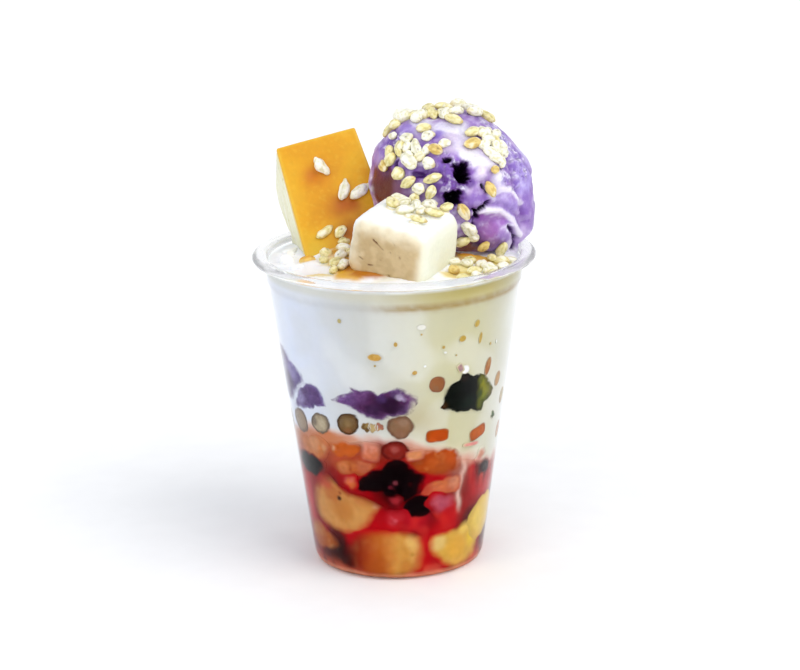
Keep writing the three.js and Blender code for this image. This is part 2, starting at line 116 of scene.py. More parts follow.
class Paint:
    # A coat of colour over a piece's vertices, mixed in linear light. Mix lays one colour over it,
    # blend lays another coat over it, grade starts it afresh from colours at places along a line, and
    # scale makes it lighter or darker.
    def __init__(self, count, hexColour):
        self.coat = np.tile(toLinear(hexColour), (count, 1))

    def mix(self, hexColour, share):
        share = np.clip(np.broadcast_to(share, len(self.coat)), 0, 1)[:, None]
        self.coat = self.coat * (1 - share) + np.array(toLinear(hexColour)) * share
        return self

    def blend(self, other, share):
        share = np.clip(np.broadcast_to(share, len(self.coat)), 0, 1)[:, None]
        self.coat = self.coat * (1 - share) + other.coat * share
        return self

    def grade(self, place, stops):
        marks, colours = zip(*stops)
        channels = np.array([toLinear(colour) for colour in colours]).T
        self.coat = np.stack([np.interp(place, marks, channel) for channel in channels], -1)
        return self

    def scale(self, factor):
        factor = np.broadcast_to(factor, len(self.coat))[:, None]
        self.coat[:, :3] = np.clip(self.coat[:, :3] * factor, 0, 1)
        return self


def applyPaint(piece, coat):
    layer = piece.data.color_attributes.new(name="paint", type="FLOAT_COLOR", domain="POINT")
    layer.data.foreach_set("color", coat.astype(np.float32).ravel())


def finishPiece(piece, name, material, nodes=(), angle=50):
    piece.name = name
    piece.data.name = name
    piece.data.materials.clear()
    piece.data.materials.append(material)
    activate(piece)
    bpy.ops.object.shade_smooth_by_angle(angle=math.radians(angle))
    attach(piece, "root")
    if nodes:
        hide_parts(*nodes)
    return piece


def join(pieces):
    activate(pieces[0])
    for piece in pieces:
        piece.select_set(True)
    bpy.ops.object.join()
    return bpy.context.object


def iceBall(fineness):
    bpy.ops.mesh.primitive_ico_sphere_add(subdivisions=fineness, radius=1 * mm)
    return bpy.context.object


def cutBlock(cuts):
    # a cube of side 1 mm with its lowest corner at the origin, cut into small squares
    bpy.ops.mesh.primitive_cube_add(size=1 * mm, location=(0.5 * mm, 0.5 * mm, 0.5 * mm))
    piece = bpy.context.object
    bpy.ops.object.transform_apply(location=True, rotation=True, scale=True)
    bpy.ops.object.mode_set(mode="EDIT")
    bpy.ops.mesh.select_all(action="SELECT")
    bpy.ops.mesh.subdivide(number_cuts=cuts)
    bpy.ops.object.mode_set(mode="OBJECT")
    return piece


def softened(points, size, edge):
    # rounds the edges of a block of this size by moving its points on to a rounded box
    size = np.array(size, float)
    inner = np.clip(points, edge, size - edge)
    out = points - inner
    length = np.linalg.norm(out, axis=1, keepdims=True)
    corner = length > 1e-9
    return np.where(corner, inner + out / np.where(corner, length, 1) * edge, points)


def spun(name, profile, steps):
    mesh = bpy.data.meshes.new(name)
    corners = [(radius * mm, 0, level * mm) for radius, level in profile]
    mesh.from_pydata(corners, [(i, i + 1) for i in range(len(corners) - 1)], [])
    piece = bpy.data.objects.new(name, mesh)
    bpy.context.collection.objects.link(piece)
    activate(piece)
    bpy.ops.object.mode_set(mode="EDIT")
    bpy.ops.mesh.select_all(action="SELECT")
    bpy.ops.mesh.spin(steps=steps, angle=math.tau, center=(0, 0, 0), axis=(0, 0, 1))
    bpy.ops.mesh.select_all(action="SELECT")
    bpy.ops.mesh.remove_doubles(threshold=hair * mm)
    bpy.ops.mesh.normals_make_consistent(inside=False)
    bpy.ops.object.mode_set(mode="OBJECT")
    return piece


# Materials, each named for what it is and how its surface was made.

def addNode(material, kind, inputs=None, stops=None, **settings):
    tree = material.node_tree
    node = tree.nodes.new(kind)
    for name, value in settings.items():
        setattr(node, name, value)
    for name, value in (inputs or {}).items():
        if isinstance(value, bpy.types.NodeSocket):
            tree.links.new(value, node.inputs[name])
        else:
            node.inputs[name].default_value = value
    for index, (place, colour) in enumerate(stops or []):
        points = node.color_ramp.elements
        point = points[index] if index < 2 else points.new(place)
        point.position = place
        point.color = toLinear(colour)
    return node


def newMaterial(name, **sockets):
    material = bpy.data.materials.new(name)
    material.use_nodes = True
    material.node_tree.nodes.clear()
    inputs = {key.replace("_", " "): value for key, value in sockets.items()}
    surface = addNode(material, "ShaderNodeBsdfPrincipled", inputs)
    addNode(material, "ShaderNodeOutputMaterial", {"Surface": surface.outputs["BSDF"]})
    return material, surface


def link(material, output, target):
    material.node_tree.links.new(output, target)


def paintedMaterial(name, grain, bump, fleck=0.0, **sockets):
    # A coat of vertex paint, broken up by fine noise `grain` mm across that also gives the bump,
    # which the coat's alpha weakens.
    material, surface = newMaterial(name, **sockets)
    place = addNode(material, "ShaderNodeTexCoord")
    coat = addNode(material, "ShaderNodeAttribute", attribute_name="paint")
    fine = addNode(material, "ShaderNodeTexNoise", {
        "Vector": place.outputs["Object"], "Scale": 1 / (grain * mm), "Detail": 4.0, "Roughness": 0.6})
    shade = addNode(material, "ShaderNodeMapRange", {
        "Value": fine.outputs["Fac"], "From Min": 0.3, "From Max": 0.7,
        "To Min": 1 - fleck, "To Max": 1 + fleck})
    colour = addNode(material, "ShaderNodeVectorMath", {0: coat.outputs["Color"]}, operation="SCALE")
    link(material, shade.outputs["Result"], colour.inputs["Scale"])
    link(material, colour.outputs["Vector"], surface.inputs["Base Color"])
    relief = addNode(material, "ShaderNodeBump", {
        "Height": fine.outputs["Fac"], "Distance": bump * mm, "Strength": coat.outputs["Alpha"]})
    link(material, relief.outputs["Normal"], surface.inputs["Normal"])
    return material


# Thermoformed PET: water-clear and mirror-smooth. So thin a wall hardly bends light, so its IOR is
# set far below PET's own 1.57, and lamp light passes straight through.
petPlastic, petSurface = newMaterial(
    "clearThermoformedPet", Base_Color=toLinear("#FAFCFC"), Roughness=0.03, IOR=1.25,
    Specular_Tint=toLinear("#383838"), Transmission_Weight=1.0)
lampRay = addNode(petPlastic, "ShaderNodeLightPath")
openAir = addNode(petPlastic, "ShaderNodeBsdfTransparent", {"Color": toLinear("#F4F6F6")})
petMix = addNode(petPlastic, "ShaderNodeMixShader", {
    "Fac": lampRay.outputs["Is Shadow Ray"], 1: petSurface.outputs["BSDF"], 2: openAir.outputs["BSDF"]})
petOutput = [node for node in petPlastic.node_tree.nodes if node.type == "OUTPUT_MATERIAL"][0]
link(petPlastic, petMix.outputs["Shader"], petOutput.inputs["Surface"])

# The rolled lip is the same plastic in several layers, so it looks milky and blurs what is behind it.
rolledLip, _ = newMaterial(
    "rolledPetLip", Base_Color=toLinear("#FFFFFF"), Roughness=0.1, IOR=1.2, Transmission_Weight=0.86,
    Specular_Tint=toLinear("#C0C0C0"))

# Evaporated milk and cream: dense, softly shining white that light sinks into a little.
milkCream = paintedMaterial(
    "evaporatedMilk", grain=3.0, bump=0.04, fleck=0.015, Roughness=0.32, IOR=1.35,
    Subsurface_Weight=0.25, Subsurface_Radius=(1.0, 0.8, 0.6), Subsurface_Scale=2.0 * mm)
# Sugar syrup dyed red: deep and clear, and nowhere open to the air.
redSyrup = paintedMaterial(
    "redSugarSyrup", grain=4.0, bump=0.0, fleck=0.12, Roughness=0.4, IOR=1.42, Specular_IOR_Level=0.0,
    Subsurface_Weight=0.15, Subsurface_Radius=(1.0, 0.12, 0.08), Subsurface_Scale=2.5 * mm)
# Ube ice cream starting to melt: wet sheen over a fine icy grain.
ubeIceCream = paintedMaterial(
    "ubeIceCream", grain=0.9, bump=0.3, fleck=0.07, Roughness=0.33, IOR=1.4,
    Subsurface_Weight=0.12, Subsurface_Radius=(1.0, 0.7, 1.0), Subsurface_Scale=1.2 * mm)
# Steamed egg custard: satin, close-grained, with knife lines.
eggCustard = paintedMaterial(
    "steamedEggCustard", grain=0.8, bump=0.1, fleck=0.03, Roughness=0.42, IOR=1.4,
    Subsurface_Weight=0.2, Subsurface_Radius=(1.0, 0.8, 0.4), Subsurface_Scale=1.5 * mm)
# Caramel set on the custard: clear amber with a wet gloss.
setCaramel = paintedMaterial(
    "setCaramel", grain=2.2, bump=0.03, fleck=0.04, Roughness=0.34, IOR=1.4, Specular_IOR_Level=0.3,
    Subsurface_Weight=0.1, Subsurface_Radius=(1.0, 0.5, 0.1), Subsurface_Scale=1.0 * mm)
# Coconut milk pudding: matt, fine curd with small holes where it was cut.
coconutPudding = paintedMaterial(
    "coconutMilkPudding", grain=1.4, bump=0.12, fleck=0.03, Roughness=0.5, IOR=1.38,
    Subsurface_Weight=0.2, Subsurface_Radius=(1.0, 0.8, 0.6), Subsurface_Scale=1.5 * mm)
# Toasted puffed rice: dry, pale, finely wrinkled, browned at the tips.
toastedRice = paintedMaterial(
    "toastedPuffedRice", grain=0.9, bump=0.18, fleck=0.07, Roughness=0.5, IOR=1.4,
    Subsurface_Weight=0.1, Subsurface_Radius=(1.0, 0.8, 0.4), Subsurface_Scale=0.8 * mm)
# Ube jam: thick, matt, granular.
ubeJam = paintedMaterial(
    "ubeJam", grain=0.7, bump=0.1, fleck=0.28, Roughness=0.6, IOR=1.4, Specular_IOR_Level=0.0)
# What is pressed wet against the wall has no gloss of its own: agar jelly, cooked tapioca and
# syrup-soaked beans with smooth, tight skins, and banana cooked in brown sugar with faint threads.
agarJelly = paintedMaterial(
    "agarJelly", grain=2.5, bump=0.02, fleck=0.1, Roughness=0.4, IOR=1.34, Specular_IOR_Level=0.0,
    Subsurface_Weight=0.1, Subsurface_Radius=(1.0, 0.5, 0.2), Subsurface_Scale=1.0 * mm)
cookedTapioca = paintedMaterial(
    "cookedTapioca", grain=2.0, bump=0.02, fleck=0.07, Roughness=0.4, IOR=1.38, Specular_IOR_Level=0.0)
soakedBean = paintedMaterial(
    "syrupSoakedBean", grain=1.5, bump=0.02, fleck=0.15, Roughness=0.4, IOR=1.42, Specular_IOR_Level=0.0)
stewedBanana = paintedMaterial(
    "stewedBanana", grain=2.2, bump=0.03, fleck=0.07, Roughness=0.4, IOR=1.38, Specular_IOR_Level=0.0,
    Subsurface_Weight=0.15, Subsurface_Radius=(1.0, 0.6, 0.2), Subsurface_Scale=1.5 * mm)
print("materials ready")


# The cup: one wall, spun from the rows of its outside, its rolled rim and its inside.
cup = {
    "height": 111, "wall": 0.8, "sides": 144,
    "footInner": 19, "footOuter": 26.5, "footSlope": 1, "recess": 1.6,
    "cornerLevel": 3.4, "cornerInset": 0.9, "cornerInsetLevel": 1.2, "cornerLift": 0.6, "baseRadius": 30,
    "ledgeLevel": 101, "ledgeRadius": 43.5, "ledgeStep": 0.7, "ledgeRise": 1,
    "bandLevel": 108.4, "bandRadius": 44.5,
    "rimRadius": 49, "rimThickness": 2.6, "rimPoints": 22, "rimFrom": -80, "rimTo": 160,
    # how clear of the wall the toppings stay, and how far they lean out for each mm above the rim
    "clearance": 0.3, "overhang": 1.6,
}
ledgeTop = cup["ledgeLevel"] + cup["ledgeRise"]
wallSlope = math.atan2(cup["ledgeRadius"] - cup["baseRadius"], cup["ledgeLevel"] - cup["cornerLevel"])
insideRows = [
    [0, cup["recess"] + cup["wall"]],
    [cup["footInner"] - cup["wall"], cup["recess"] + cup["wall"]],
    [cup["footInner"] + cup["wall"], cup["wall"]],
    [cup["footOuter"], cup["wall"]],
    [cup["baseRadius"] - cup["cornerInset"] - cup["wall"],
     cup["cornerInsetLevel"] + cup["wall"] * cup["cornerLift"]],
    [cup["baseRadius"] - cup["wall"], cup["cornerLevel"]],
    [cup["ledgeRadius"] - cup["wall"], cup["ledgeLevel"]],
    [cup["ledgeRadius"] - cup["wall"] + cup["ledgeStep"], ledgeTop],
    [cup["bandRadius"] - cup["wall"], cup["bandLevel"]],
]


def insideRadius(level):
    rows = np.array(insideRows[3:])
    return np.interp(level, rows[:, 1], rows[:, 0])


def keptInCup(points):
    # what stands in the cream keeps clear of the wall, and above it rests on the rim
    x, y, z = points.T
    limit = insideRadius(z) - cup["clearance"]
    limit = limit + cup["overhang"] * np.maximum(z - cup["height"] - cup["clearance"], 0)
    shrink = np.minimum(1, limit / np.maximum(np.hypot(x, y), 1))
    return np.stack([x * shrink, y * shrink, z], -1)


def makeCup():
    outsideRows = [
        [0, cup["recess"]], [cup["footInner"] - cup["footSlope"], cup["recess"]], [cup["footInner"], 0],
        [cup["footOuter"], 0], [cup["baseRadius"] - cup["cornerInset"], cup["cornerInsetLevel"]],
        [cup["baseRadius"], cup["cornerLevel"]], [cup["ledgeRadius"], cup["ledgeLevel"]],
        [cup["ledgeRadius"] + cup["ledgeStep"], ledgeTop], [cup["bandRadius"], cup["bandLevel"]],
    ]
    half = cup["rimThickness"] / 2
    reach = (cup["rimRadius"] - cup["bandRadius"] + cup["wall"]) / 2
    rimRows = []
    for angle in np.radians(np.linspace(cup["rimFrom"], cup["rimTo"], cup["rimPoints"])):
        rimRows.append([cup["rimRadius"] - reach + reach * math.cos(angle),
                        cup["height"] - half + half * math.sin(angle)])
    piece = spun("cup", outsideRows + rimRows + insideRows[::-1], cup["sides"])
    finishPiece(piece, "clearCup", petPlastic, ["cup"], angle=35)
    piece.data.materials.append(rolledLip)
    lipBottom = (cup["bandLevel"] - 0.05) * mm  # just below the top of the band
    for face in piece.data.polygons:
        if face.center.z > lipBottom:
            face.material_index = 1
    return piece


makeCup()
print("cup ready")


# Where the toasted rice lies. It comes before the scoop, which has painted shade under its grains.
rice = {
    "sunk": 0.24, "fineness": 4, "wrinkle": 0.16, "puff": 0.55, "groove": 0.05, "pitch": 16,
    "taper": 0.16, "bend": 0.12, "swellSize": 2.3, "wrinkleSize": 0.8,
    # how far out a grain starts before it is dropped on to a topping, and its level over the cream
    "scoopDrop": 45, "blockDrop": 12, "creamDrop": 118,
    # main colour, painted shade, painted shade of the crease and browned tips of pale, yellow and golden
    # grains
    "tones": {"w": ("#F6F3E2", "#D2CC92", "#969040", "#CDB468"),
              "y": ("#EDE3AC", "#CBBC66", "#908238", "#BE9A44"),
              "g": ("#E5CC80", "#C4A048", "#8C6A28", "#96662C")},
    # on the scoop: turn, lift, spin, length, width, tone
    "scoop": [
        (-112, 60, 20, 7.6, 5.2, "w"), (-106, 52, 40, 7.2, 3.4, "g"), (-62, 70, 3, 4.6, 4.2, "w"),
        (-51, 77, -29, 7.8, 3.4, "y"), (-18, 79, -60, 7.0, 3.2, "y"), (12, 66, -40, 7.4, 3.6, "y"),
        (140, 76, 86, 8.0, 4.8, "w"), (66, 68, -21, 8.2, 4.4, "w"), (100, 72, 30, 7.4, 4.2, "w"),
        (30, 76, 10, 7.0, 3.8, "w"), (-31, 56, 21, 5.6, 3.5, "y"), (-21, 49, 28, 4.8, 3.9, "w"),
        (-49, 36, -56, 6.8, 3.0, "y"), (-41, 39, 83, 4.8, 3.1, "w"), (-30, 39, -53, 8.3, 3.5, "w"),
        (-20, 38, 72, 4.4, 3.2, "w"), (-11, 38, -17, 5.4, 3.7, "g"), (-3, 43, 20, 4.8, 3.0, "w"),
        (-60, 32, -56, 5.4, 3.5, "y"), (-53, 27, 74, 5.4, 4.1, "y"), (-33, 28, -28, 7.8, 4.9, "w"),
        (-16, 28, -28, 4.6, 3.8, "w"), (-40, 18, 35, 5.0, 4.7, "y"), (-60, 21, -30, 5.4, 3.5, "g"),
        (-12, 17, 22, 7.0, 3.2, "y"), (-31, 13, 37, 6.3, 3.5, "y"), (-22, 9, -9, 4.8, 4.0, "w"),
        (-13, 7, 67, 5.6, 3.5, "y"), (-68, 44, 20, 5.6, 2.8, "w"), (31, 52, 10, 6.6, 3.4, "y"),
        (25, 42, 6, 7.0, 4.0, "g"), (42, 50, 30, 5.2, 3.6, "w"), (50, 48, 85, 4.8, 3.6, "w"),
        (45, 43.5, -10, 5.6, 4.0, "w"), (53, 41, 60, 4.6, 3.4, "y"), (37, 40, 10, 5.4, 3.6, "w"),
        (59, 45, 20, 5.0, 3.4, "w"), (57, 36, -50, 5.0, 3.6, "w"), (47.5, 36, 80, 5.4, 3.8, "w"),
        (39, 34, -30, 5.0, 3.4, "w"), (52, 30, 20, 4.6, 3.4, "w"), (42, 28, -46, 5.6, 3.6, "w"),
        (47, 24, 60, 4.4, 3.0, "w"), (37, 20, 1, 3.6, 2.8, "g"),
        (-85, 58, 10, 8.4, 5.8, "w"), (-79, 51, 20, 6.0, 3.8, "y"), (-55, 63, -10, 5.6, 3.6, "w"),
        (12, -34, 20, 6.0, 3.6, "y"), (30, -36, 60, 5.4, 3.2, "g"), (22, -31, -30, 4.6, 3.2, "w"),
        (-17, 27, 80, 4.2, 3.0, "w"), (-48, 38.5, 60, 5.0, 3.2, "y"), (-37, 32, 20, 5.4, 3.4, "w"),
        (32, 7, -68, 6.2, 3.6, "g"), (11, -8, -60, 7.0, 3.8, "g"), (17, -24, -44, 7.6, 4.2, "w"),
        (47, -38, -82, 7.4, 3.8, "y"), (-44, 45, 10, 5.6, 3.4, "w"), (-25, 33, 40, 5.4, 3.2, "y"),
        (-75, 66, 60, 6.2, 3.6, "y"),
    ],
    # on the scoop's far side they follow a spiral round this turn and lift
    "rearCount": 17, "rearTurn": 200, "rearLift": 50, "rearSpread": 62, "rearStep": 2.4,
    "rearSquash": 0.7, "rearTones": "wyyg",
    # on the flan's face: across, down, spin, length, width, tone
    "flan": [
        (13.1, 11.2, -66, 7.9, 4.0, "w"), (18.1, 21.6, 62, 8.0, 3.8, "w"),
        (22.9, 23.8, 24, 8.8, 4.0, "w"), (7.8, 34.7, 22, 7.4, 3.2, "y"), (12.7, 36.2, 30, 5.4, 3.4, "y"),
    ],
    # on top of the pudding: across, in, spin, length, width, tone
    "pudding": [
        (-6.2, 1.2, -38, 7.6, 3.8, "y"), (-0.6, -0.6, 30, 6.4, 3.4, "w"), (0.8, 5.2, -60, 7.4, 3.6, "w"),
        (8.6, 3.0, 20, 7.0, 3.2, "y"), (9.8, 10.2, 60, 5.2, 3.4, "y"), (6.8, -5.2, 0, 6.6, 2.8, "y"),
        (2.4, 11.6, 40, 6.6, 3.8, "w"), (-7.2, 8.0, 22, 6.0, 3.4, "w"), (-3.6, 4.4, 70, 6.4, 3.6, "w"),
        (4.8, 7.2, -10, 6.6, 3.6, "w"), (-2.6, 11.0, -70, 6.4, 3.4, "y"), (4.2, 1.6, 84, 5.8, 3.2, "w"),
    ],
    # on the cream: x, y, spin, length, width, tone
    "cream": [
        (20.2, -24.6, -70, 5.4, 3.8, "g"), (24.6, -17.6, -60, 6.6, 3.6, "w"),
        (27.2, -24.2, 33, 6.2, 3.2, "y"), (32.2, -19.8, -30, 6.2, 3.6, "w"),
        (36.6, -12.6, -30, 6.2, 3.8, "y"), (29.6, -16.2, 50, 5.4, 3.2, "w"),
        (-23.5, 2.4, -60, 5.4, 4.2, "y"), (-18.6, -6.2, 75, 7.2, 3.8, "w"),
        (-14.6, -1.4, 60, 6.6, 3.6, "y"), (-17.0, 9.6, 50, 6.8, 3.6, "y"),
        (40.2, -8.0, 20, 5.0, 3.0, "w"), (33.6, -10.6, -70, 5.4, 3.2, "y"),
        (-20.5, 25.7, 10, 6.0, 3.6, "y"), (2.0, 30.0, 30, 6.8, 3.6, "w"),
        (-6.0, 24.5, -40, 6.4, 3.4, "y"), (9.5, 37.0, 70, 6.4, 3.6, "y"),
        (-28.5, 33.0, 15, 6.2, 3.4, "w"), (-24.0, -9.0, 70, 5.0, 3.4, "y"),
        (-19.6, -14.0, 40, 6.2, 3.4, "y"), (-17.0, -20.6, 65, 6.6, 3.6, "w"),
        (-20.4, -22.4, 80, 5.6, 3.0, "y"), (-17.4, 3.0, 20, 5.6, 3.4, "w"),
        (22.8, -31.0, 20, 4.6, 3.0, "y"), (28.0, -29.6, -40, 4.8, 3.2, "w"),
        (33.0, -25.2, 60, 4.6, 3.0, "y"), (20.6, -18.6, 30, 5.0, 3.2, "w"),
        (37.0, -18.0, 10, 4.6, 3.0, "w"), (31.4, -22.8, 80, 4.2, 2.8, "w"),
        (26.0, -12.6, -20, 4.6, 3.0, "y"),
    ],
}


# The scoop of ube ice cream, with a curl that stands out of it low on the right.
scoop = {
    "centre": [18.9, 15, 130.4], "radius": 26.4, "fineness": 7, "unevenness": 0.55,
    # turn, lift, spread in degrees, height
    "lumps": [(85, -4, 32, 3.6), (78, -38, 20, 7.5), (-92, 14, 26, 1), (-70, 48, 18, 1),
              (20, 62, 20, 0.8), (120, -35, 16, 4), (170, -25, 14, 2), (215, -32, 16, 2.6),
              (150, 25, 20, 1), (27, 20, 6, 1.2), (14, 8, 5, 0.6), (44, -3, 8, 0.7)],
    "curl": {"turn": 50, "lift": -33, "reach": 25.5, "wide": 18, "high": 15, "deep": 11, "join": 0.5},
    # the sizes of its unevenness, and how high each stands, also where it is crumbly
    "grain": {"wavy": 7, "ragged": 5.5, "fine": 2.1, "icy": 0.9},
    "relief": {"wavy": 0.35, "ragged": 0.22, "fine": 0.16, "crumbFine": 0.25, "icy": 0.06,
               "crumbIcy": 0.1, "pit": 0.55},
    # the marbling's streaks and threads, and how they are warped
    "marbling": {"streak": 8.5, "thread": 3, "warp": 13, "warpReach": 9},
    # the dark, caramel-stained side without pale specks: turn, lift, inner and outer reach in degrees
    "stained": (-60, 0, 22, 34),
    # pockets broken out of it, dark with painted shade: turn, lift, half width, half height, depth
    "pockets": [
        (11, 21.2, 2.7, 3.5, 9.0), (13.5, 17.6, 1.6, 1.6, 4.0), (0.0, 30.6, 1.9, 0.9, 2.8),
        (5.5, 27, 1.6, 0.9, 2.4), (11, 26.5, 1.9, 0.8, 2.0), (3.0, 1.4, 3.0, 3.3, 8.5),
        (30.1, -4.2, 1.1, 0.8, 1.8), (21, -12, 1.2, 1.9, 2.4), (-24, 19, 3.4, 1.2, 1.4),
        (-46, 25, 1.0, 1.6, 1.4),
    ],
    # creases: a line of (turn, lift), its width, its depth, how dark its painted shade is
    "creases": [
        ([(31, -3), (26, -7), (21, -11), (19, -16)], 0.8, 1.8, 0.95),
        ([(26, 11), (30, 5)], 0.6, 1.0, 0.9),
        ([(21, -14), (20, -22), (18, -34)], 0.9, 1.6, 0.7),
        ([(19, -8), (28, -4.5), (40, -5.5), (57, -15), (66, -24)], 1.1, 1.1, 0.3),
        ([(50, -23), (56, -27), (62, -33), (63, -40)], 0.9, 2.2, 0.75),
        ([(57, 24), (56, 6), (60, -3), (62, -11), (67, -21)], 1.3, 1.3, 0.3),
        ([(78, 18), (84, 6), (86, -8)], 1.2, 0.8, 0.3),
        ([(86, 4), (92, -8), (94, -24)], 1.2, 0.9, 0.3),
        ([(-20, 21), (-9, 20), (-2, 15)], 1.2, 1.0, 0.5),
        ([(150, 20), (175, 10), (200, 14)], 1.6, 1.6, 0.5),
        ([(120, -8), (140, -16), (165, -12)], 1.3, 1.3, 0.45),
        ([(-140, 35), (-125, 20), (-118, 2)], 1.4, 1.2, 0.45),
    ],
    # melted folds that stand up and are paler: a line, its width, its height
    "folds": [
        ([(32, 3), (41, 5.5), (50, 4), (62, -8)], 1.3, 0.8),
        ([(20, -11), (28, -8), (40, -9.5), (55, -19), (64, -29)], 1.3, 0.9),
        ([(52, -34), (60, -42), (72, -40), (76, -30)], 1.6, 0.7),
        ([(18, 28), (27, 29), (36, 25), (41, 14)], 1.6, 0.5),
        ([(130, 8), (150, 0), (172, 6)], 1.6, 0.8), ([(-150, 18), (-132, 6)], 1.6, 0.8),
    ],
    # where it is crumbly and full of small pits: turn, lift, size
    "crumbs": [(3.6, 26.6, 3.4), (-2.5, 22, 3.4), (2, 12, 3.6), (7.5, 9.3, 3), (62, 44, 4), (60, 34, 4.5),
               (56, 20, 4.5), (51, 13, 4), (56, 6, 3.4), (46, 24, 4), (-66, 38, 5), (-58, 30, 4),
               (66, 55, 5), (77, 47, 4), (73, 38, 4.4), (74, 25, 4.2), (70, 15, 3.6), (-1.5, 30.5, 3),
               (150, 40, 9), (-165, 20, 8), (115, 20, 8)],
    # patches of colour, the dark ones on the right side and round the pockets painted shade: turn, lift,
    # size, colour, strength
    "tints": [
        (14, 57, 5, "#F7F5FD", 0.95), (-6, 60, 4, "#F1EDFB", 0.85), (5, 44, 4.5, "#D6C5DE", 0.8),
        (21, 38, 5.5, "#EFEAFB", 0.9), (20.5, 32, 4.6, "#F8F6FD", 0.95), (30, 27, 4, "#F4F0FB", 0.95),
        (36, 24, 3.4, "#F1ECFA", 0.9), (27, 20, 2.8, "#EFE3F6", 0.95), (14, 8, 2.6, "#CCB7DB", 0.85),
        (41, 14, 3.4, "#EEE9FA", 0.85), (46, 27, 3.4, "#F0EDFA", 0.8), (-23, 27, 2.4, "#E9E3F7", 0.8),
        (-40, 55, 3, "#E4DCF6", 0.7), (-30, 58, 3, "#EDE8F9", 0.8), (58, -41, 3.6, "#E2CFEC", 0.8),
        (71, -31, 3.4, "#CDB9DE", 0.8), (86, -12, 6, "#8468B4", 0.75), (92, -22, 6, "#70509E", 0.75),
        (82, -30, 5, "#9478BC", 0.75), (80, 6, 5, "#9A80C4", 0.6), (26, -40, 5, "#4E1A2C", 0.85),
        (14, -36, 5, "#5A2440", 0.8), (34, -34, 3, "#7A3A6A", 0.7), (64, 20, 4, "#AE98D9", 0.8),
        (66, 34, 5, "#B9A6DC", 0.8),
        (43, -3, 4.5, "#B299D8", 0.85), (53, -9, 4, "#A88ED6", 0.85), (72, 48, 6, "#BDABDB", 0.8),
        (-24, 20, 3.2, "#67328D", 0.85), (-14, 51, 2.4, "#8C72CA", 0.85), (-54, 50, 4, "#9B81D0", 0.8),
        (3, 7, 3.2, "#854AA8", 0.8), (-6, 14, 3.4, "#976CC2", 0.75), (16, 22, 2.2, "#8A59B3", 0.8),
        (4, 27, 2.6, "#A384CA", 0.7), (24, -13.6, 3, "#8544A5", 0.85), (29, -17, 3.4, "#9050AE", 0.8),
        (40, -17, 3.4, "#A167BA", 0.7), (20, 0, 3.6, "#9D7BC7", 0.7), (33, -25, 3, "#9F60A3", 0.7),
        (74, 42, 5, "#B4A6E4", 0.75), (76, 22, 6, "#A690D6", 0.75), (70, 8, 5, "#B0A0E2", 0.7),
        (60, 2, 3.4, "#B6A4E4", 0.7), (70, 12, 4, "#A48CD6", 0.6), (66, -8, 3, "#8D6ABE", 0.7),
        (74, -18, 3.4, "#885FB3", 0.6),
        (-62, 18, 4.5, "#8A4A58", 0.8), (-57, 13, 4.5, "#6A2428", 0.9), (-48, 12, 4.5, "#6A3050", 0.85),
        (-60, 4, 8, "#5A1404", 0.97), (-50, -2, 7, "#622408", 0.95), (-68, 14, 4, "#6A2014", 0.9),
        (-38, 4, 5, "#7E5070", 0.7),
        # painted shade round the pockets
        (-12, 12, 2.6, "#431A5E", 0.95), (-4, 9, 3.0, "#56267C", 0.9), (14, 13, 2.8, "#5C2E88", 0.85),
        (2, 14, 3.2, "#6C3A9A", 0.85), (1, 24, 3.0, "#7244A2", 0.8), (9, 10, 2.8, "#54247A", 0.85),
        (-3, 3, 2.6, "#5E2E84", 0.8), (10, 4, 2.6, "#6A3A98", 0.7), (7, 29, 2.2, "#8A5CBE", 0.7),
        (-70, 25, 3.4, "#AE92C5", 0.6),
        (20, -46, 4, "#A4622C", 0.8), (36, -47, 3, "#C98A5A", 0.7),
        (170, 45, 8, "#F1EEFA", 0.8), (205, 15, 7, "#EFEAF8", 0.7), (140, -5, 8, "#956ABC", 0.6),
        (-130, 20, 6, "#EDE8F8", 0.6), (-150, -5, 7, "#8F61B5", 0.6),
    ],
}
scoopCentre = np.array(scoop["centre"], float)


def apart(ways, turn, lift):
    return np.degrees(np.arccos(np.clip(ways @ direction(turn, lift), -1, 1)))


def scoopReach(ways):
    reach = np.full(len(ways), float(scoop["radius"]))
    for turn, lift, spread, height in scoop["lumps"]:
        reach += height * near(apart(ways, turn, lift), spread)
    x, y, z = ways.T
    swell = np.sin(7 * x + 2 * z) * np.cos(6 * y - 3 * z + 1)
    return reach + scoop["unevenness"] * (swell + 0.6 * np.sin(13 * z + 5 * x))


def curlReach(ways):
    # how far out the curl of ice cream stands in each direction, 0 where it isn't
    curl = scoop["curl"]
    posture = Euler((-math.radians(curl["lift"]), 0, 0)).to_matrix()
    posture = np.array(Matrix.Rotation(math.radians(curl["turn"]), 3, "Z") @ posture)
    halves = np.array([curl["wide"], curl["deep"], curl["high"]]) / 2
    way = (ways @ posture) / halves
    middle = (direction(curl["turn"], curl["lift"]) * curl["reach"]) @ posture / halves
    steepness, along, outside = (way * way).sum(1), way @ middle, middle @ middle - 1
    crossing = along * along - steepness * outside
    return np.where(crossing > 0, (along + np.sqrt(np.maximum(crossing, 0))) / steepness, 0)


def creaseDistance(points, line):
    corners = direction(*np.array(line, float).T) * scoop["radius"]
    least = np.full(len(points), 1e9)
    for start, end in zip(corners[:-1], corners[1:]):
        along = end - start
        share = np.clip((points - start) @ along / (along @ along), 0, 1)
        least = np.minimum(least, np.linalg.norm(points - start - share[:, None] * along, axis=1))
    return least


def spotDistance(ball, turn, lift):
    return np.linalg.norm(ball - direction(turn, lift) * scoop["radius"], axis=1)


def pocketDistance(ball, turn, lift, halfWidth, halfHeight, ragged):
    # 0 in the middle of a squarish pocket and 1 at its edge
    outward, east = direction(turn, lift), direction(turn + 90)
    aside, up = ball @ east / halfWidth, ball @ np.cross(outward, east) / halfHeight
    square = (aside ** 4 + up ** 4) ** 0.25 + ragged / halfWidth
    return np.where(ball @ outward > 0, square, 9)


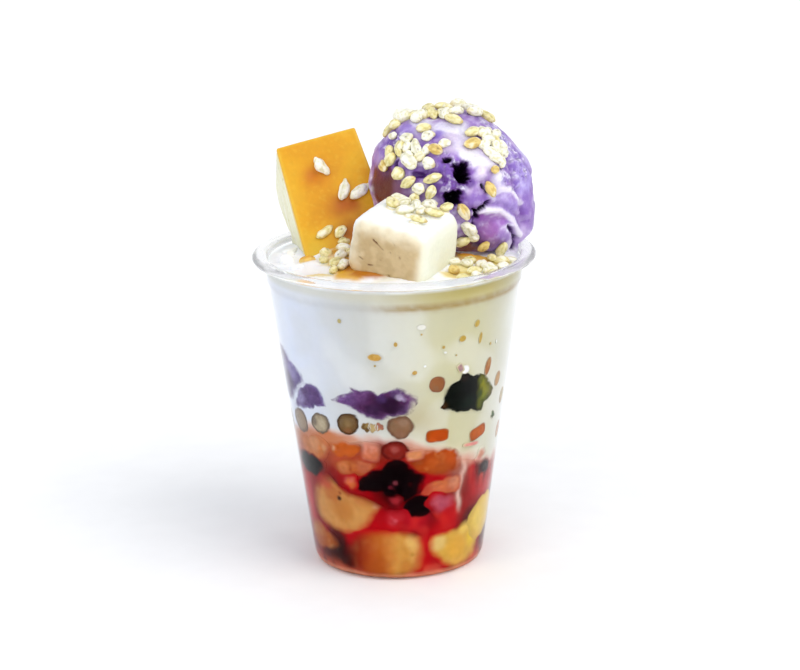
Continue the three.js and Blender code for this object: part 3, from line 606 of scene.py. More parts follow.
def carveScoop(ways, ball, grain):
    # how far out the surface stands, where it takes painted shade, and where it is folded, crumbly or
    # pitted
    fine, icy, join = grain["fine"], grain["icy"], scoop["curl"]["join"]
    reach = join * np.logaddexp(scoopReach(ways) / join, curlReach(ways) / join)
    hollowShade, fold, crumb = np.zeros((3, len(ways)))
    for line, width, depth, strength in scoop["creases"]:
        distance = creaseDistance(ball, line) + 0.5 * fine + 0.3 * icy
        share = near(np.maximum(distance, 0), width)
        reach -= depth * share
        hollowShade = np.maximum(hollowShade, strength * smooth(share, 0.25, 0.85))
    for turn, lift, halfWidth, halfHeight, depth in scoop["pockets"]:
        away = pocketDistance(ball, turn, lift, halfWidth, halfHeight, 1.3 * fine + 0.5 * icy)
        reach -= depth * smooth(away, 1.2, 0.1)
        hollowShade = np.maximum(hollowShade, smooth(away, 1.25, 0.8) * min(1, 0.45 + depth / 6))
    for line, width, height in scoop["folds"]:
        share = near(creaseDistance(ball, line) + 0.3 * fine, width)
        reach += height * share
        fold = np.maximum(fold, share)
    for turn, lift, size in scoop["crumbs"]:
        distance = spotDistance(ball, turn, lift) + 1.2 * grain["ragged"]
        crumb = np.maximum(crumb, smooth(distance, 1.2 * size, 0.6 * size))
    pits = crumb * smooth(icy + 0.5 * fine, 0.18, 0.42)
    relief = scoop["relief"]
    reach += relief["wavy"] * grain["wavy"] + relief["ragged"] * grain["ragged"]
    reach += (relief["fine"] + relief["crumbFine"] * crumb) * fine
    reach += (relief["icy"] + relief["crumbIcy"] * crumb) * icy
    reach -= relief["pit"] * pits
    return reach, (hollowShade, fold, crumb, pits)


def paintScoop(ways, ball, grain, marks):
    ragged, fine, icy = grain["ragged"], grain["fine"], grain["icy"]
    hollowShade, fold, crumb, pits = marks
    # marbling: bands of white cream, lavender and violet, drawn out sideways
    marbling = scoop["marbling"]
    warp = np.stack([rough(ball, marbling["warp"], seed) for seed in (5, 6, 7)], -1)
    warped = ball + warp * marbling["warpReach"]
    streak = rough(warped * [1, 1, 1.9], marbling["streak"], 8)
    streak += 0.4 * rough(warped * [1, 1, 1.5], marbling["thread"], 9) + 0.16 * fine + 0.06 * icy
    paint = Paint(len(ways), "#A484C6")
    paint.mix("#B9A1D4", smooth(streak, 0.05, 0.25)).mix("#E6E0F6", smooth(streak, 0.28, 0.5))
    paint.mix("#916EBB", smooth(-streak, 0.1, 0.28)).mix("#784AA1", 0.8 * smooth(-streak, 0.32, 0.52))
    for turn, lift, size, colour, strength in scoop["tints"]:
        distance = spotDistance(ball, turn, lift) + 1.6 * ragged + 1.0 * fine
        paint.mix(colour, strength * smooth(distance, size * 1.25, size * 0.5))
    stainTurn, stainLift, inner, outer = scoop["stained"]
    clean = smooth(apart(ways, stainTurn, stainLift), inner, outer)
    paint.mix("#EDE6FA", clean * (0.14 + 0.75 * crumb) * smooth(fine + 0.6 * icy, 0.08, 0.35))
    paint.mix("#7A56B4", clean * (0.16 + 0.6 * crumb) * smooth(-fine - 0.6 * icy, 0.12, 0.4))
    # painted shade under each grain of rice
    grainShade = np.zeros(len(ways))
    for turn, lift, spin, length, *rest in rice["scoop"]:
        grainShade = np.maximum(grainShade, near(spotDistance(ball, turn, lift) + 0.4 * fine, 0.55 * length))
    paint.mix("#F6F1FC", 0.8 * smooth(fold, 0.3, 0.85)).mix("#5C3F8C", 0.55 * grainShade)
    # painted shade in the pits, less of it towards the back
    paint.mix("#5A3687", (0.75 - 0.5 * smooth(ways[:, 1], 0, 0.4)) * pits * clean)
    # painted shade in the creases and pockets, near black where they are deepest
    paint.mix("#66368D", np.clip(1.1 * hollowShade, 0, 1)).mix("#4A1F6C", smooth(hollowShade, 0.4, 0.7))
    paint.mix("#0E0414", smooth(hollowShade, 0.62, 0.92))
    paint.coat[:, 3] = 0.6 + 0.4 * crumb
    return paint


def makeScoop():
    piece = iceBall(scoop["fineness"])
    ways = whereIs(piece)
    ways /= np.linalg.norm(ways, axis=1, keepdims=True)
    ball = ways * scoop["radius"]
    sizes = scoop["grain"]
    grain = {"ragged": rough(ball, sizes["ragged"], 1), "fine": rough(ball, sizes["fine"], 2),
             "icy": rough(ball, sizes["icy"], 3), "wavy": rough(ball * [1, 1, 2.2], sizes["wavy"], 4)}
    reach, marks = carveScoop(ways, ball, grain)
    moveTo(piece, keptInCup(ways * reach[:, None] + scoopCentre))
    applyPaint(piece, paintScoop(ways, ball, grain, marks).coat)
    return finishPiece(piece, "ubeIceCreamScoop", ubeIceCream, ["ube_scoop"])


scoopPiece = makeScoop()
print("scoop ready")


# The block of leche flan and the caramel over its face.
flan = {
    "topLeft": [-40.8, 26, 142.1], "width": 29, "bottomWider": 3.6, "length": 44, "depth": 23,
    "turnLeft": 12.2, "roll": 12, "lean": 32.5, "backSlant": 15, "sideSlant": 4,
    "caramel": 1.6, "overlap": 0.1, "edge": 0.7, "custardEdge": 0.9, "cuts": 66, "sideBulge": 1.0,
    # the sizes of its knife lines, curd and pocks, and of the caramel's waves, and how high they stand
    "grain": {"line": 1.6, "curd": 2.4, "pock": 1.3, "wave": 9, "ripple": 3, "fleck": 1.2},
    "relief": {"line": 0.16, "curd": 0.2, "topCurd": 0.18, "pock": 0.3, "wave": 0.12, "ripple": 0.05,
               "dip": 0.15, "proud": 0.05},
    # the first of them lie under grains and sink a little
    "sunkPools": 4, "sunkReach": 2.2,
    # painted shadows of the grains, brown and deep orange beside them, and browner caramel at the foot:
    # across, down, size, colour, strength
    "grainShadowsAndPools": [
        (9.8, 12.8, 2.5, "#A23406", 0.95), (10.4, 13.0, 4.8, "#C86A14", 0.7),
        (16.6, 26.2, 2.7, "#9A3406", 0.95), (19.4, 27.0, 2.4, "#A84008", 0.85),
        (15.6, 27.4, 5.4, "#BC6614", 0.8), (15.0, 37.6, 4.6, "#9C480C", 0.8),
        (21.5, 34.0, 5.0, "#C07C20", 0.5), (20, 39, 5.5, "#9C5012", 0.75), (10, 6, 9, "#DB9C1E", 0.5),
        (24, 5, 7, "#DB9E1E", 0.4), (4.6, 39.0, 4.6, "#D8B02C", 0.8), (2.0, 20, 4, "#DDA52C", 0.5),
        (2.4, 43.0, 4.0, "#DDB93A", 0.85), (9.5, 41.5, 4, "#D0962A", 0.5),
    ],
}
flanPosture = np.array(Matrix.Rotation(math.radians(flan["turnLeft"]), 3, "Z")
                       @ Matrix.Rotation(-math.radians(flan["roll"]), 3, "Y")
                       @ Matrix.Rotation(-math.radians(flan["lean"]), 3, "X"))


def placeFlan(points):
    # from the flan's own axes: x across its face, y into it, z up along it from the top left corner
    x, y, z = points.T
    down = -z / flan["length"]
    middle = flan["width"] / 2
    x = middle + (x - middle) * (1 + down * flan["bottomWider"] / flan["width"])
    x = x - y * math.tan(math.radians(flan["sideSlant"]))
    z = z - y * math.tan(math.radians(flan["backSlant"]))
    return np.stack([x, y, z], -1) @ flanPosture.T + flan["topLeft"]


def makeCustard():
    # knife-cut sides that swell a little, with fine upright lines
    width, length, depth = flan["width"], flan["length"], flan["depth"]
    grain, relief = flan["grain"], flan["relief"]
    start = flan["caramel"] - flan["overlap"]
    size = (width, depth - start, length)
    piece = cutBlock(flan["cuts"])
    local = softened(whereIs(piece) * size, size, flan["custardEdge"]) + [0, start, -length]
    x, y, z = local.T
    lines = rough(local * [1, 1, 0.12], grain["line"], 11)
    curd = rough(local, grain["curd"], 12)
    pocks = smooth(rough(local, grain["pock"], 13), 0.42, 0.6)
    side = smooth(np.abs(x - width / 2), width / 2 - 1.2, width / 2 - 0.3)
    outward = np.sign(x - width / 2)
    swell = flan["sideBulge"] * (y / depth) * np.sin(np.pi * np.clip(-z / length, 0, 1))
    local[:, 0] += outward * side * (swell + relief["line"] * lines - relief["pock"] * pocks)
    back = smooth(y, depth - 1.2, depth - 0.3)
    local[:, 1] += back * (relief["line"] * lines + relief["curd"] * curd - relief["pock"] * pocks)
    top = smooth(z, -1.2, -0.3)
    local[:, 2] += top * (relief["topCurd"] * curd - relief["pock"] * pocks)
    paint = Paint(len(local), "#E7E5C6")
    paint.mix("#D6D09C", 0.5 * smooth(lines, 0.05, 0.5)).mix("#F3F2E2", 0.6 * smooth(-lines, 0.05, 0.5))
    # darker towards the bottom, with painted shade in the pocks
    paint.mix("#E0DAA6", 0.5 * smooth(-z, length * 0.3, length)).mix("#BFB274", 0.5 * pocks)
    paint.mix("#E0BE58", 0.8 * smooth(y, 3.0, 1.4))
    moveTo(piece, keptInCup(placeFlan(local)))
    applyPaint(piece, paint.coat)
    return finishPiece(piece, "custardBlock", eggCustard, ["leche_flan"])


def makeCaramel():
    # a skin of caramel over the custard's face, wavy, browner where syrup pooled, and with painted shadows
    # of the grains
    width, length = flan["width"], flan["length"]
    grain, relief = flan["grain"], flan["relief"]
    size = (width, flan["caramel"], length)
    piece = cutBlock(flan["cuts"])
    local = softened(whereIs(piece) * size, size, flan["edge"]) + [0, 0, -length]
    x, y, z = local.T
    wave = rough(local, grain["wave"], 14)
    ripple = rough(local, grain["ripple"], 15)
    paint = Paint(len(local), "#DDA01E")
    paint.mix("#E0AC26", 0.6 * smooth(wave, 0, 0.4)).mix("#D4901A", 0.6 * smooth(-wave, 0, 0.4))
    paint.mix("#E6B83C", 0.3 * smooth(rough(local, grain["fleck"], 16), 0.25, 0.5))
    for across, down, spread, colour, strength in flan["grainShadowsAndPools"]:
        distance = np.hypot(x - across, -z - down) + 0.9 * ripple
        paint.mix(colour, strength * near(np.maximum(distance, 0), spread))
    rim = np.minimum.reduce([x, width - x, -z, length + z])
    paint.mix("#E2B53A", 0.75 * smooth(rim + 0.4 * ripple, 1.5, 0.2))
    sunk = np.zeros(len(local))
    for across, down, *rest in flan["grainShadowsAndPools"][:flan["sunkPools"]]:
        sunk += near(np.hypot(x - across, -z - down), flan["sunkReach"])
    lift = relief["wave"] * wave + relief["ripple"] * ripple + relief["dip"] * sunk
    local[:, 1] += smooth(y, 0.8, 0.1) * lift
    local[:, 1] = np.maximum(local[:, 1], -relief["proud"])
    moveTo(piece, placeFlan(local))
    applyPaint(piece, paint.coat)
    return finishPiece(piece, "caramelLayer", setCaramel, ["flan_caramel"])


custardPiece = makeCustard()
caramelPiece = makeCaramel()
print("flan ready")


# The cube of coconut pudding.
pudding = {
    "topCentre": [4.6, -21.4, 128.8], "size": 28.6, "height": 22,
    "turnRight": 27.3, "tiltBack": 6.1, "tiltSide": 10.4, "edge": 5.2, "sag": 1.2, "cuts": 88,
    # slits and holes in the front face: across, down, across, down, width, depth
    "slits": [(-4.6, 6.0, -3.4, 6.7, 0.4, 0.75), (-3.2, 6.9, -0.6, 8.6, 0.22, 0.42),
              (-5.4, 15.3, -4.0, 15.0, 0.34, 0.5), (-8.9, 13.4, -7.6, 13.9, 0.28, 0.4),
              (6.0, 17.4, 6.4, 17.9, 0.6, 0.8), (2.2, 17.0, 2.8, 17.2, 0.36, 0.4),
              (1.8, 8.6, 2.2, 8.9, 0.3, 0.3), (5.4, 9.6, 5.7, 10.0, 0.3, 0.35),
              (-1.6, 12.2, -1.0, 12.4, 0.26, 0.25), (3.0, 5.6, 3.3, 5.8, 0.26, 0.25)],
    "pores": 30, "poreSize": 0.3, "poreDepth": 0.35,
    # the sizes of its unevenness, and how high each stands; skin and cut are the finest one's
    "grain": {"lumpy": 9, "curd": 3, "fine": 1.1},
    "relief": {"lumpy": 0.35, "curd": 0.12, "skin": 0.03, "cut": 0.1, "hole": 0.7},
    # the sweet cream spooned over the top, under the grains: across, in, size
    "glaze": [(-5.5, 1.5, 3.4), (-1.5, 0.5, 3.2), (-5.0, 5.5, 3.6), (-1.5, 5.5, 3.4), (2.5, 3.0, 3.4),
              (3.0, 8.0, 3.8), (-2.5, 10.5, 3.6), (7.5, 4.5, 3.0), (6.0, -4.8, 2.6), (2.0, -1.5, 2.4),
              (8.5, 10.0, 3.0)],
    "glazeHeight": 0.9,
}
puddingPosture = np.array(Matrix.Rotation(-math.radians(pudding["turnRight"]), 3, "Z")
                          @ Matrix.Rotation(math.radians(pudding["tiltBack"]), 3, "X")
                          @ Matrix.Rotation(math.radians(pudding["tiltSide"]), 3, "Y"))


def placePudding(points):
    return points @ puddingPosture.T + pudding["topCentre"]


def lineDistance(across, down, line):
    start, along = np.array(line[:2]), np.array(line[2:4]) - np.array(line[:2])
    spot = np.stack([across, down], -1) - start
    share = np.clip(spot @ along / (along @ along), 0, 1)
    return np.linalg.norm(spot - share[:, None] * along, axis=1)


def puddingHoles(x, y, z, cut, fine):
    # slits in the front, and small pores in its three cut faces by turns
    hole = np.zeros(len(x))
    for line in pudding["slits"]:
        width, depth = line[4:]
        share = near(np.maximum(lineDistance(x, -z, line) + 0.16 * fine, 0), width) * (y < 0)
        hole = np.maximum(hole, share * min(1, depth / pudding["relief"]["hole"]))
    faces = (("front", x, y < 0), ("back", x, y > 0), ("left", y, x < 0))
    draw = seeded(61)
    for i in range(pudding["pores"]):
        across = pudding["size"] * (next(draw) - 0.5) * 0.8
        down = pudding["height"] * (0.2 + 0.7 * next(draw))
        spread = pudding["poreSize"] * (0.5 + next(draw))
        name, along, behind = faces[i % 3]
        distance = np.hypot(along - across, (-z - down) * 1.3)
        hole = np.maximum(hole, pudding["poreDepth"] * near(distance, spread) * behind * cut[name])
    return hole


def paintPudding(x, z, facing, cut, hole, glaze, lumpy, curd):
    # the skin is white with cream over it, and the cut faces are tan, with painted shade over the front,
    # deepest low down
    paint = Paint(len(x), "#F8FAF9")
    front = smooth(-facing[:, 1] + 0.12 * curd, 0.3, 0.85)
    # the tan of the cut front with painted shade over it, deeper low down and fading towards the sides
    tan = front * smooth(-z + 0.8 * curd, 0.6, 7.5) * smooth(x + 0.8 * curd, 13.6, 10.4)
    tan = tan * (0.35 + 0.65 * smooth(x + 0.8 * curd + 0.2 * z, -15.5, -8.5))
    paint.mix("#E6DAB8", 0.85 * front)
    paint.mix("#C6AC7E", 0.95 * tan).mix("#AE9264", 0.45 * tan * smooth(curd + 0.6 * lumpy, -0.1, 0.45))
    # painted shade low on the front
    paint.mix("#C9AA66", 0.45 * cut["front"] * smooth(-z + curd, 15, 21))
    paint.mix("#D2BE92", 0.8 * np.maximum(cut["back"], cut["left"]) * smooth(-z + 0.5 * curd, 3.4, 8))
    paint.mix("#EDEDD0", 0.75 * smooth(facing[:, 0], 0.5, 0.9))
    paint.mix("#D2C98E", 0.6 * smooth(facing[:, 0], 0.4, 0.9) * smooth(-z, 14, 21))
    paint.mix("#CF9A3E", 0.6 * near(np.hypot(x + 13, z + 21), 5))
    paint.mix("#DCC46C", 0.75 * smooth(glaze, 0.1, 0.45) * smooth(glaze, 0.95, 0.5))
    paint.mix("#FBF9EE", 0.85 * smooth(glaze, 0.55, 0.95))
    # painted shade inside the slits and pores
    return paint.mix("#7A5230", np.clip(1.2 * hole, 0, 1) * smooth(hole, 0.15, 0.6))


def makePudding():
    size, height = pudding["size"], pudding["height"]
    grain, relief = pudding["grain"], pudding["relief"]
    full = (size, size, height)
    piece = cutBlock(pudding["cuts"])
    local = softened(whereIs(piece) * full, full, pudding["edge"]) - [size / 2, size / 2, height]
    x, y, z = local.T
    local[:, :2] *= (1 - pudding["sag"] * z / height / size)[:, None]
    moveTo(piece, local)
    facing = normalsOf(piece)
    lumpy, curd = rough(local, grain["lumpy"], 21), rough(local, grain["curd"], 22)
    fine = rough(local, grain["fine"], 23)
    cut = {"front": smooth(-facing[:, 1], 0.75, 0.95), "back": smooth(facing[:, 1], 0.75, 0.95),
           "left": smooth(-facing[:, 0], 0.75, 0.95)}
    hole = puddingHoles(x, y, z, cut, fine)
    glaze = np.zeros(len(local))
    for across, inward, spread in pudding["glaze"]:
        away = np.hypot(x - across, y - inward) + 0.7 * curd + 0.3 * fine
        glaze = np.maximum(glaze, smooth(away, spread, spread - 1.3) * (facing[:, 2] > 0.5))
    lift = relief["lumpy"] * lumpy + relief["curd"] * curd - relief["hole"] * hole
    lift += (relief["skin"] + relief["cut"] * sum(cut.values())) * fine + pudding["glazeHeight"] * glaze
    local += facing * lift[:, None]
    paint = paintPudding(x, z, facing, cut, hole, glaze, lumpy, curd)
    moveTo(piece, keptInCup(placePudding(local)))
    applyPaint(piece, paint.coat)
    return finishPiece(piece, "coconutPuddingCube", coconutPudding, ["coconut_pudding"])


puddingPiece = makePudding()
print("pudding ready")


# The milk with its cream top, and the syrup below it.
filling = {
    "seamLevel": 46, "seamWave": 6, "seamTurn": 20, "seamTilt": 2.5, "seamRagged": 0.7, "seamGap": 0.05,
    "creamAtWall": 107.4, "creamMound": 2.8, "creamRipple": 0.35, "rippleLength": 19,
    "creamLumps": ((6.5, 0.45, 33), (2.6, 0.15, 34)),  # size, height, seed
    "sides": 288, "wallStep": 1.2, "topStep": 0.9, "intoWall": 0.1, "bottomRings": [0, 10, 20, 30],
    "bandLevels": [103.5, 105, 106.2],
    # how high the cream climbs what stands in it, how quickly that fades and how far it is looked for
    "meniscus": 1.0, "meniscusReach": 1.7, "meniscusSearch": 8,
    # a hollow in the cream at the flan's foot: x, y, reach, depth
    "hollow": (-30, 4, 8, 2.0),
    # caramel that ran into the cream: x, y, half length, half width, spin, colour, strength, how thick
    "runs": [
        (-18, -12, 6, 12, 14, "#EBC860", 0.9, 0.3), (-16, -22, 5, 8, 25, "#DDA62E", 0.95, 0.5),
        (-13.5, -27.5, 8, 4.8, -22, "#DEA828", 0.95, 0.5), (-9.5, -29.0, 7, 3, -20, "#B46A08", 0.95, 0.5),
        (-15.5, -22.0, 2.8, 6, 20, "#B87010", 0.9, 0.3), (-17, -8, 3.4, 6, 10, "#C4860E", 0.8, 0.2),
        (-26, -24.6, 7, 1.5, -6, "#E2CC8A", 0.9, 0.2), (-30, -6, 3.4, 2.6, 10, "#E8B848", 0.7, 0.2),
        (-18, 10, 5, 12, 0, "#D9A838", 0.9, 0.3), (-20, 0, 4, 5, 0, "#CC9420", 0.7, 0.2),
        (27.5, -7.0, 9.5, 2.6, -22, "#9A5410", 0.9, 0.4), (28, -10, 11, 5.0, -22, "#DCAE48", 0.85, 0.3),
        (25, -20, 7, 5, 25, "#E8D26A", 0.75, 0.3), (33, -17, 8, 5, 40, "#EBDC84", 0.75, 0.3),
        (21, -27, 5.5, 3.6, 30, "#E2C658", 0.8, 0.3), (29, -28, 6, 3, 20, "#EBDC8C", 0.7, 0.2),
        (38, -9, 4, 4, 0, "#E9DA94", 0.6, 0.2),
        (2, -33.5, 13, 1.8, 3, "#E9E0BC", 0.5, 0.1), (2, 31, 9, 5, 10, "#DDBB68", 0.6, 0.3),
        (-28, 31, 5, 3, 30, "#E2C67C", 0.5, 0.2),
    ],
}


def seamLevel(x, y):
    turn = np.radians(turnOf(x, y))
    share = np.minimum(1, np.hypot(x, y) / (insideRadius(filling["seamLevel"]) + cup["wall"]))
    wave = filling["seamWave"] * np.cos(2 * turn + math.radians(filling["seamTurn"]))
    around = np.stack([50 * np.sin(turn), 50 * np.cos(turn), 0 * turn], -1)
    ragged = filling["seamRagged"] * (rough(around, 7, 31) + 0.5 * rough(around, 2.6, 32))
    return filling["seamLevel"] + share * (wave - filling["seamTilt"] * np.sin(turn) + ragged)


toppings = [scoopPiece, custardPiece, caramelPiece, puddingPiece]
bpy.context.view_layer.update()
depsgraph = bpy.context.evaluated_depsgraph_get()
toppingTrees = [BVHTree.FromObject(piece, depsgraph) for piece in toppings]


def creamLevel(x, y):
    # mounded towards the middle, softly rippled, and climbing a little up what stands in it
    share = np.minimum(1, np.hypot(x, y) / cup["bandRadius"])
    step = math.tau / filling["rippleLength"]
    ripple = np.sin(x * step + 1) * np.cos(y * step - 0.6)
    level = filling["creamAtWall"] + (1 - share ** 2) * filling["creamMound"]
    level = level + ripple * filling["creamRipple"]
    flat = np.stack([x, y, 0 * x], -1)
    for size, height, seed in filling["creamLumps"]:
        level = level + (1 - share ** 6) * height * rough(flat, size, seed)
    hollowX, hollowY, reach, depth = filling["hollow"]
    level = level - depth * near(np.hypot(x - hollowX, y - hollowY), reach)
    search = filling["meniscusSearch"] * mm
    nearest = []
    for place in zip(x, y, level):
        found = [tree.find_nearest(Vector(place) * mm, search)[3] for tree in toppingTrees]
        nearest.append(min([search] + [distance for distance in found if distance is not None]) / mm)
    climb = filling["meniscus"] * np.exp(-np.array(nearest) / filling["meniscusReach"])
    return level + climb * (1 - share ** 8)


def wallColumn(low, high, step):
    levels = np.linspace(low, high, int((high - low) / step) + 1)
    return [[float(insideRadius(level)), level] for level in levels]


def seamPaint(turn):
    # where milk and syrup run together: orange on the left, red in the middle, pink on the right
    paint = Paint(len(turn), "#DDB3A0")
    for middle, spread, colour in ((-72, 24, "#B8662C"), (-40, 20, "#C87440"), (-4, 10, "#A03A2C"),
                                   (22, 14, "#C77048"), (45, 12, "#DDA590"), (66, 14, "#B8473E")):
        paint.mix(colour, 0.95 * nearTurn(turn, middle, spread))
    return paint


def milkPaint(points, above):
    # bluish on the left and creamy on the right, both painted light, lighter still at the far right, and
    # stained by the syrup below it
    turn = turnOf(points[:, 0], points[:, 1])
    soft, small = rough(points, 14, 35), rough(points, 4, 36)
    paint = Paint(len(points), "#C8C6BE")
    paint.mix("#E8EEFF", 0.95 * nearTurn(turn, -76, 50))
    paint.mix("#D2CCA2", 0.9 * nearTurn(turn, 34, 34))
    paint.mix("#F4F4EC", 0.85 * nearTurn(turn, 80, 20))
    paint.mix("#E8E4D2", 0.6 * smooth(np.abs(turn), 100, 150))
    paint.mix("#EFEFEC", 0.3 * smooth(soft, 0, 0.4)).mix("#C9C5B2", 0.15 * smooth(-soft, 0, 0.4))
    paint.mix("#BFB28C", 0.75 * near(turn - 11, 12) * near(points[:, 2] - 61, 6))
    rise = 5.2 * near(turn + 68, 36)
    paint.mix("#E6D3C4", 0.7 * smooth(above + 2.4 * small + 2 * soft, 5.0 + rise, 1.0 + rise))
    return paint.blend(seamPaint(turn), smooth(above + 1.6 * small + 0.8 * soft, 3.4 + rise, rise - 0.4))


def syrupPaint(points, below):
    # red, with painted shade low down on the left and between the sweets, streaked upright on the right,
    # and with a painted glow at its foot
    turn, level = turnOf(points[:, 0], points[:, 1]), points[:, 2]
    deep, small = rough(points, 11, 41), rough(points, 4, 42)
    streaks = rough(np.stack([turn * 0.5, 0 * turn, level * 0.12], -1), 2.0, 43)
    paint = Paint(len(points), "#94060C")
    paint.mix("#C00A16", 0.8 * smooth(deep, 0.02, 0.3)).mix("#4A0305", 0.9 * smooth(-deep, 0.0, 0.3))
    # painted shade low on the left and round the beans
    paint.mix("#200102", 0.95 * near(turn + 40, 30) * smooth(level + 2 * small, 17, 8))
    paint.mix("#1C0102", 0.9 * near(turn + 2, 15) * near(level - 36 + 2 * small, 9))
    paint.mix("#C21424", 0.9 * near(turn - 10, 12) * near(level - 23 + 2 * small, 5))
    paint.mix("#7E150C", 0.8 * near(turn + 78, 20) * smooth(level, 26, 8))
    paint.mix("#3A0204", 0.85 * near(turn + 70, 22) * near(level - 40, 4.5))
    paint.mix("#E0392E", 0.5 * near(turn - 18, 16) * near(level - 22, 6) * smooth(small, -0.1, 0.3))
    paint.mix("#5A0406", 0.8 * smooth(streaks, 0.05, 0.35) * near(turn - 66, 22) * smooth(level, 26, 33))
    paint.mix("#D8402F", 0.7 * smooth(-streaks, 0.1, 0.4) * near(turn - 62, 20) * smooth(level, 28, 36))
    # painted light, a glow low down at the foot
    paint.mix("#D8644A", 0.6 * smooth(level, 7, 2.5) * smooth(small, -0.3, 0.2))
    paint.mix("#E89A78", 0.8 * smooth(level, 3.6, 1.6))
    paint.mix("#B45A34", 0.85 * near(turn + 32, 18) * smooth(below + 2 * small, 13, 4))
    paint.mix("#C26A40", 0.7 * near(turn - 22, 14) * smooth(below + 2 * small, 8, 3))
    strand = near(turn - 39.5 - 1.6 * np.sin(level * 0.35) + 1.5 * small, 1.7) * smooth(level, 22, 28)
    paint.mix("#E9CDBE", 0.85 * strand).mix("#D98C78", 0.4 * near(turn - 37, 6) * smooth(level, 24, 40))
    return paint.blend(seamPaint(turn), smooth(below + 1.4 * small, 2.6, -0.6))


def makeMilk():
    seam, wallTop = filling["seamLevel"], filling["creamAtWall"]
    bottom = [[radius, seam] for radius in filling["bottomRings"]]
    wall = wallColumn(seam, cup["ledgeLevel"], filling["wallStep"])
    band = [[float(insideRadius(level)), level] for level in [ledgeTop] + filling["bandLevels"]]
    rings = np.arange(float(insideRadius(wallTop)), 0.5, -filling["topStep"])
    top = [[radius, wallTop] for radius in rings]
    piece = spun("milk", bottom + wall + band + top + [[0, wallTop]], filling["sides"])
    points = whereIs(piece)
    x, y, z = points.T
    radius = np.hypot(x, y)
    isTop = z > wallTop - hair
    lower = seamLevel(x, y)
    share = np.clip((z - seam) / (cup["ledgeLevel"] - seam), 0, 1)
    level = np.where(z > cup["ledgeLevel"], z, lower + share * (cup["ledgeLevel"] - lower))
    level[isTop] = creamLevel(x[isTop], y[isTop])
    smear, blot = rough(points, 5, 37), rough(points, 2, 38)
    runShares = []
    for middleX, middleY, halfLength, halfWidth, spin, colour, strength, thick in filling["runs"]:
        turned = math.radians(spin)
        along = (x - middleX) * math.cos(turned) + (y - middleY) * math.sin(turned)
        aside = (y - middleY) * math.cos(turned) - (x - middleX) * math.sin(turned)
        away = np.hypot(along / halfLength, aside / halfWidth) + 0.45 * smear + 0.2 * blot
        share = smooth(away, 1.15, 0.6) * isTop
        level += thick * share
        runShares.append((colour, strength * share))
    edge = insideRadius(np.where(isTop, wallTop, level)) + filling["intoWall"]
    shrink = np.where(radius > 0, edge / insideRadius(z), 1)
    points = np.stack([x * shrink, y * shrink, level], -1)
    moveTo(piece, points)

    paint = milkPaint(points, level - lower)
    # the warm-lit right side; along the ledge there is painted grey shade, with a painted amber reflection
    # on the warm-lit right, where the band above is painted warm too
    cream = nearTurn(turnOf(x, y), 36, 36)
    groove = near(level - ledgeTop + 0.6 + 0.5 * blot, 1.1) * ~isTop
    paint.mix("#B9B7B4", 0.25 * groove).mix("#A88428", 0.8 * groove * smooth(cream, 0.05, 0.5))
    paint.mix("#DAD7C8", 0.6 * smooth(level, 103, 105) * ~isTop)
    paint.mix("#CDBA62", 0.85 * smooth(level, 102.5, 104) * ~isTop * cream)
    paint.mix("#FBFCFE", 1.0 * isTop)
    # painted soft grey shade in patches on the cream top
    paint.mix("#E4E7EC", 0.5 * isTop * smooth(-smear - 0.4 * blot, 0.1, 0.45))
    for colour, share in runShares:
        paint.mix(colour, share)
    applyPaint(piece, paint.coat)
    return finishPiece(piece, "milkAndCream", milkCream, ["milk"])


def makeSyrup():
    seam = filling["seamLevel"]
    wall = wallColumn(cup["cornerLevel"], seam, filling["wallStep"])
    top = [[radius, seam] for radius in filling["bottomRings"][::-1]]
    piece = spun("syrup", insideRows[:5] + wall + top, filling["sides"])
    points = whereIs(piece)
    x, y, z = points.T
    radius = np.hypot(x, y)
    upper = seamLevel(x, y) - filling["seamGap"]
    share = np.clip((z - cup["cornerLevel"]) / (seam - cup["cornerLevel"]), 0, 1)
    level = np.where(z > cup["cornerLevel"], cup["cornerLevel"] + share * (upper - cup["cornerLevel"]), z)
    into = filling["intoWall"]
    level = np.where(z < cup["cornerLevel"] - hair, level - into, level)
    edge = insideRadius(level) + into
    shrink = np.where((radius > 1) & (z > seam - hair), edge / insideRadius(z), 1)
    outer = (z >= cup["cornerLevel"] - hair) & (radius > insideRadius(z) - hair)
    shrink = np.where(outer, edge / np.maximum(radius, 1), shrink)
    points = np.stack([x * shrink, y * shrink, level], -1)
    moveTo(piece, points)
    applyPaint(piece, syrupPaint(points, upper - level).coat)
    return finishPiece(piece, "redSyrupFill", redSyrup, ["syrup"])


makeMilk()
makeSyrup()
print("milk and syrup ready")


# The sweets pressed against the wall.

# Each form turns a point of the unit circle, across and up, into a point of its outline.
def ballForm(x, z, seed):
    return x, z


def blockForm(x, z, seed):
    return np.sign(x) * np.abs(x) ** 0.5, np.sign(z) * np.abs(z) ** 0.5


def beanForm(x, z, seed):
    return x, z * (1 - 0.25 * x * x) + np.where(z < 0, 0.35 * (1 - np.abs(x)), 0.1)


def cragForm(x, z, seed):
    angle = np.arctan2(z, x)
    swell = 1 + 0.12 * np.sin(3 * angle + 1.7 * seed) + 0.09 * np.sin(5 * angle + seed)
    return x * swell, z * swell


def sliceForm(x, z, seed):
    bulge = 1 + 0.06 * np.cos(3 * np.arctan2(z, x))
    return x * bulge, z * bulge


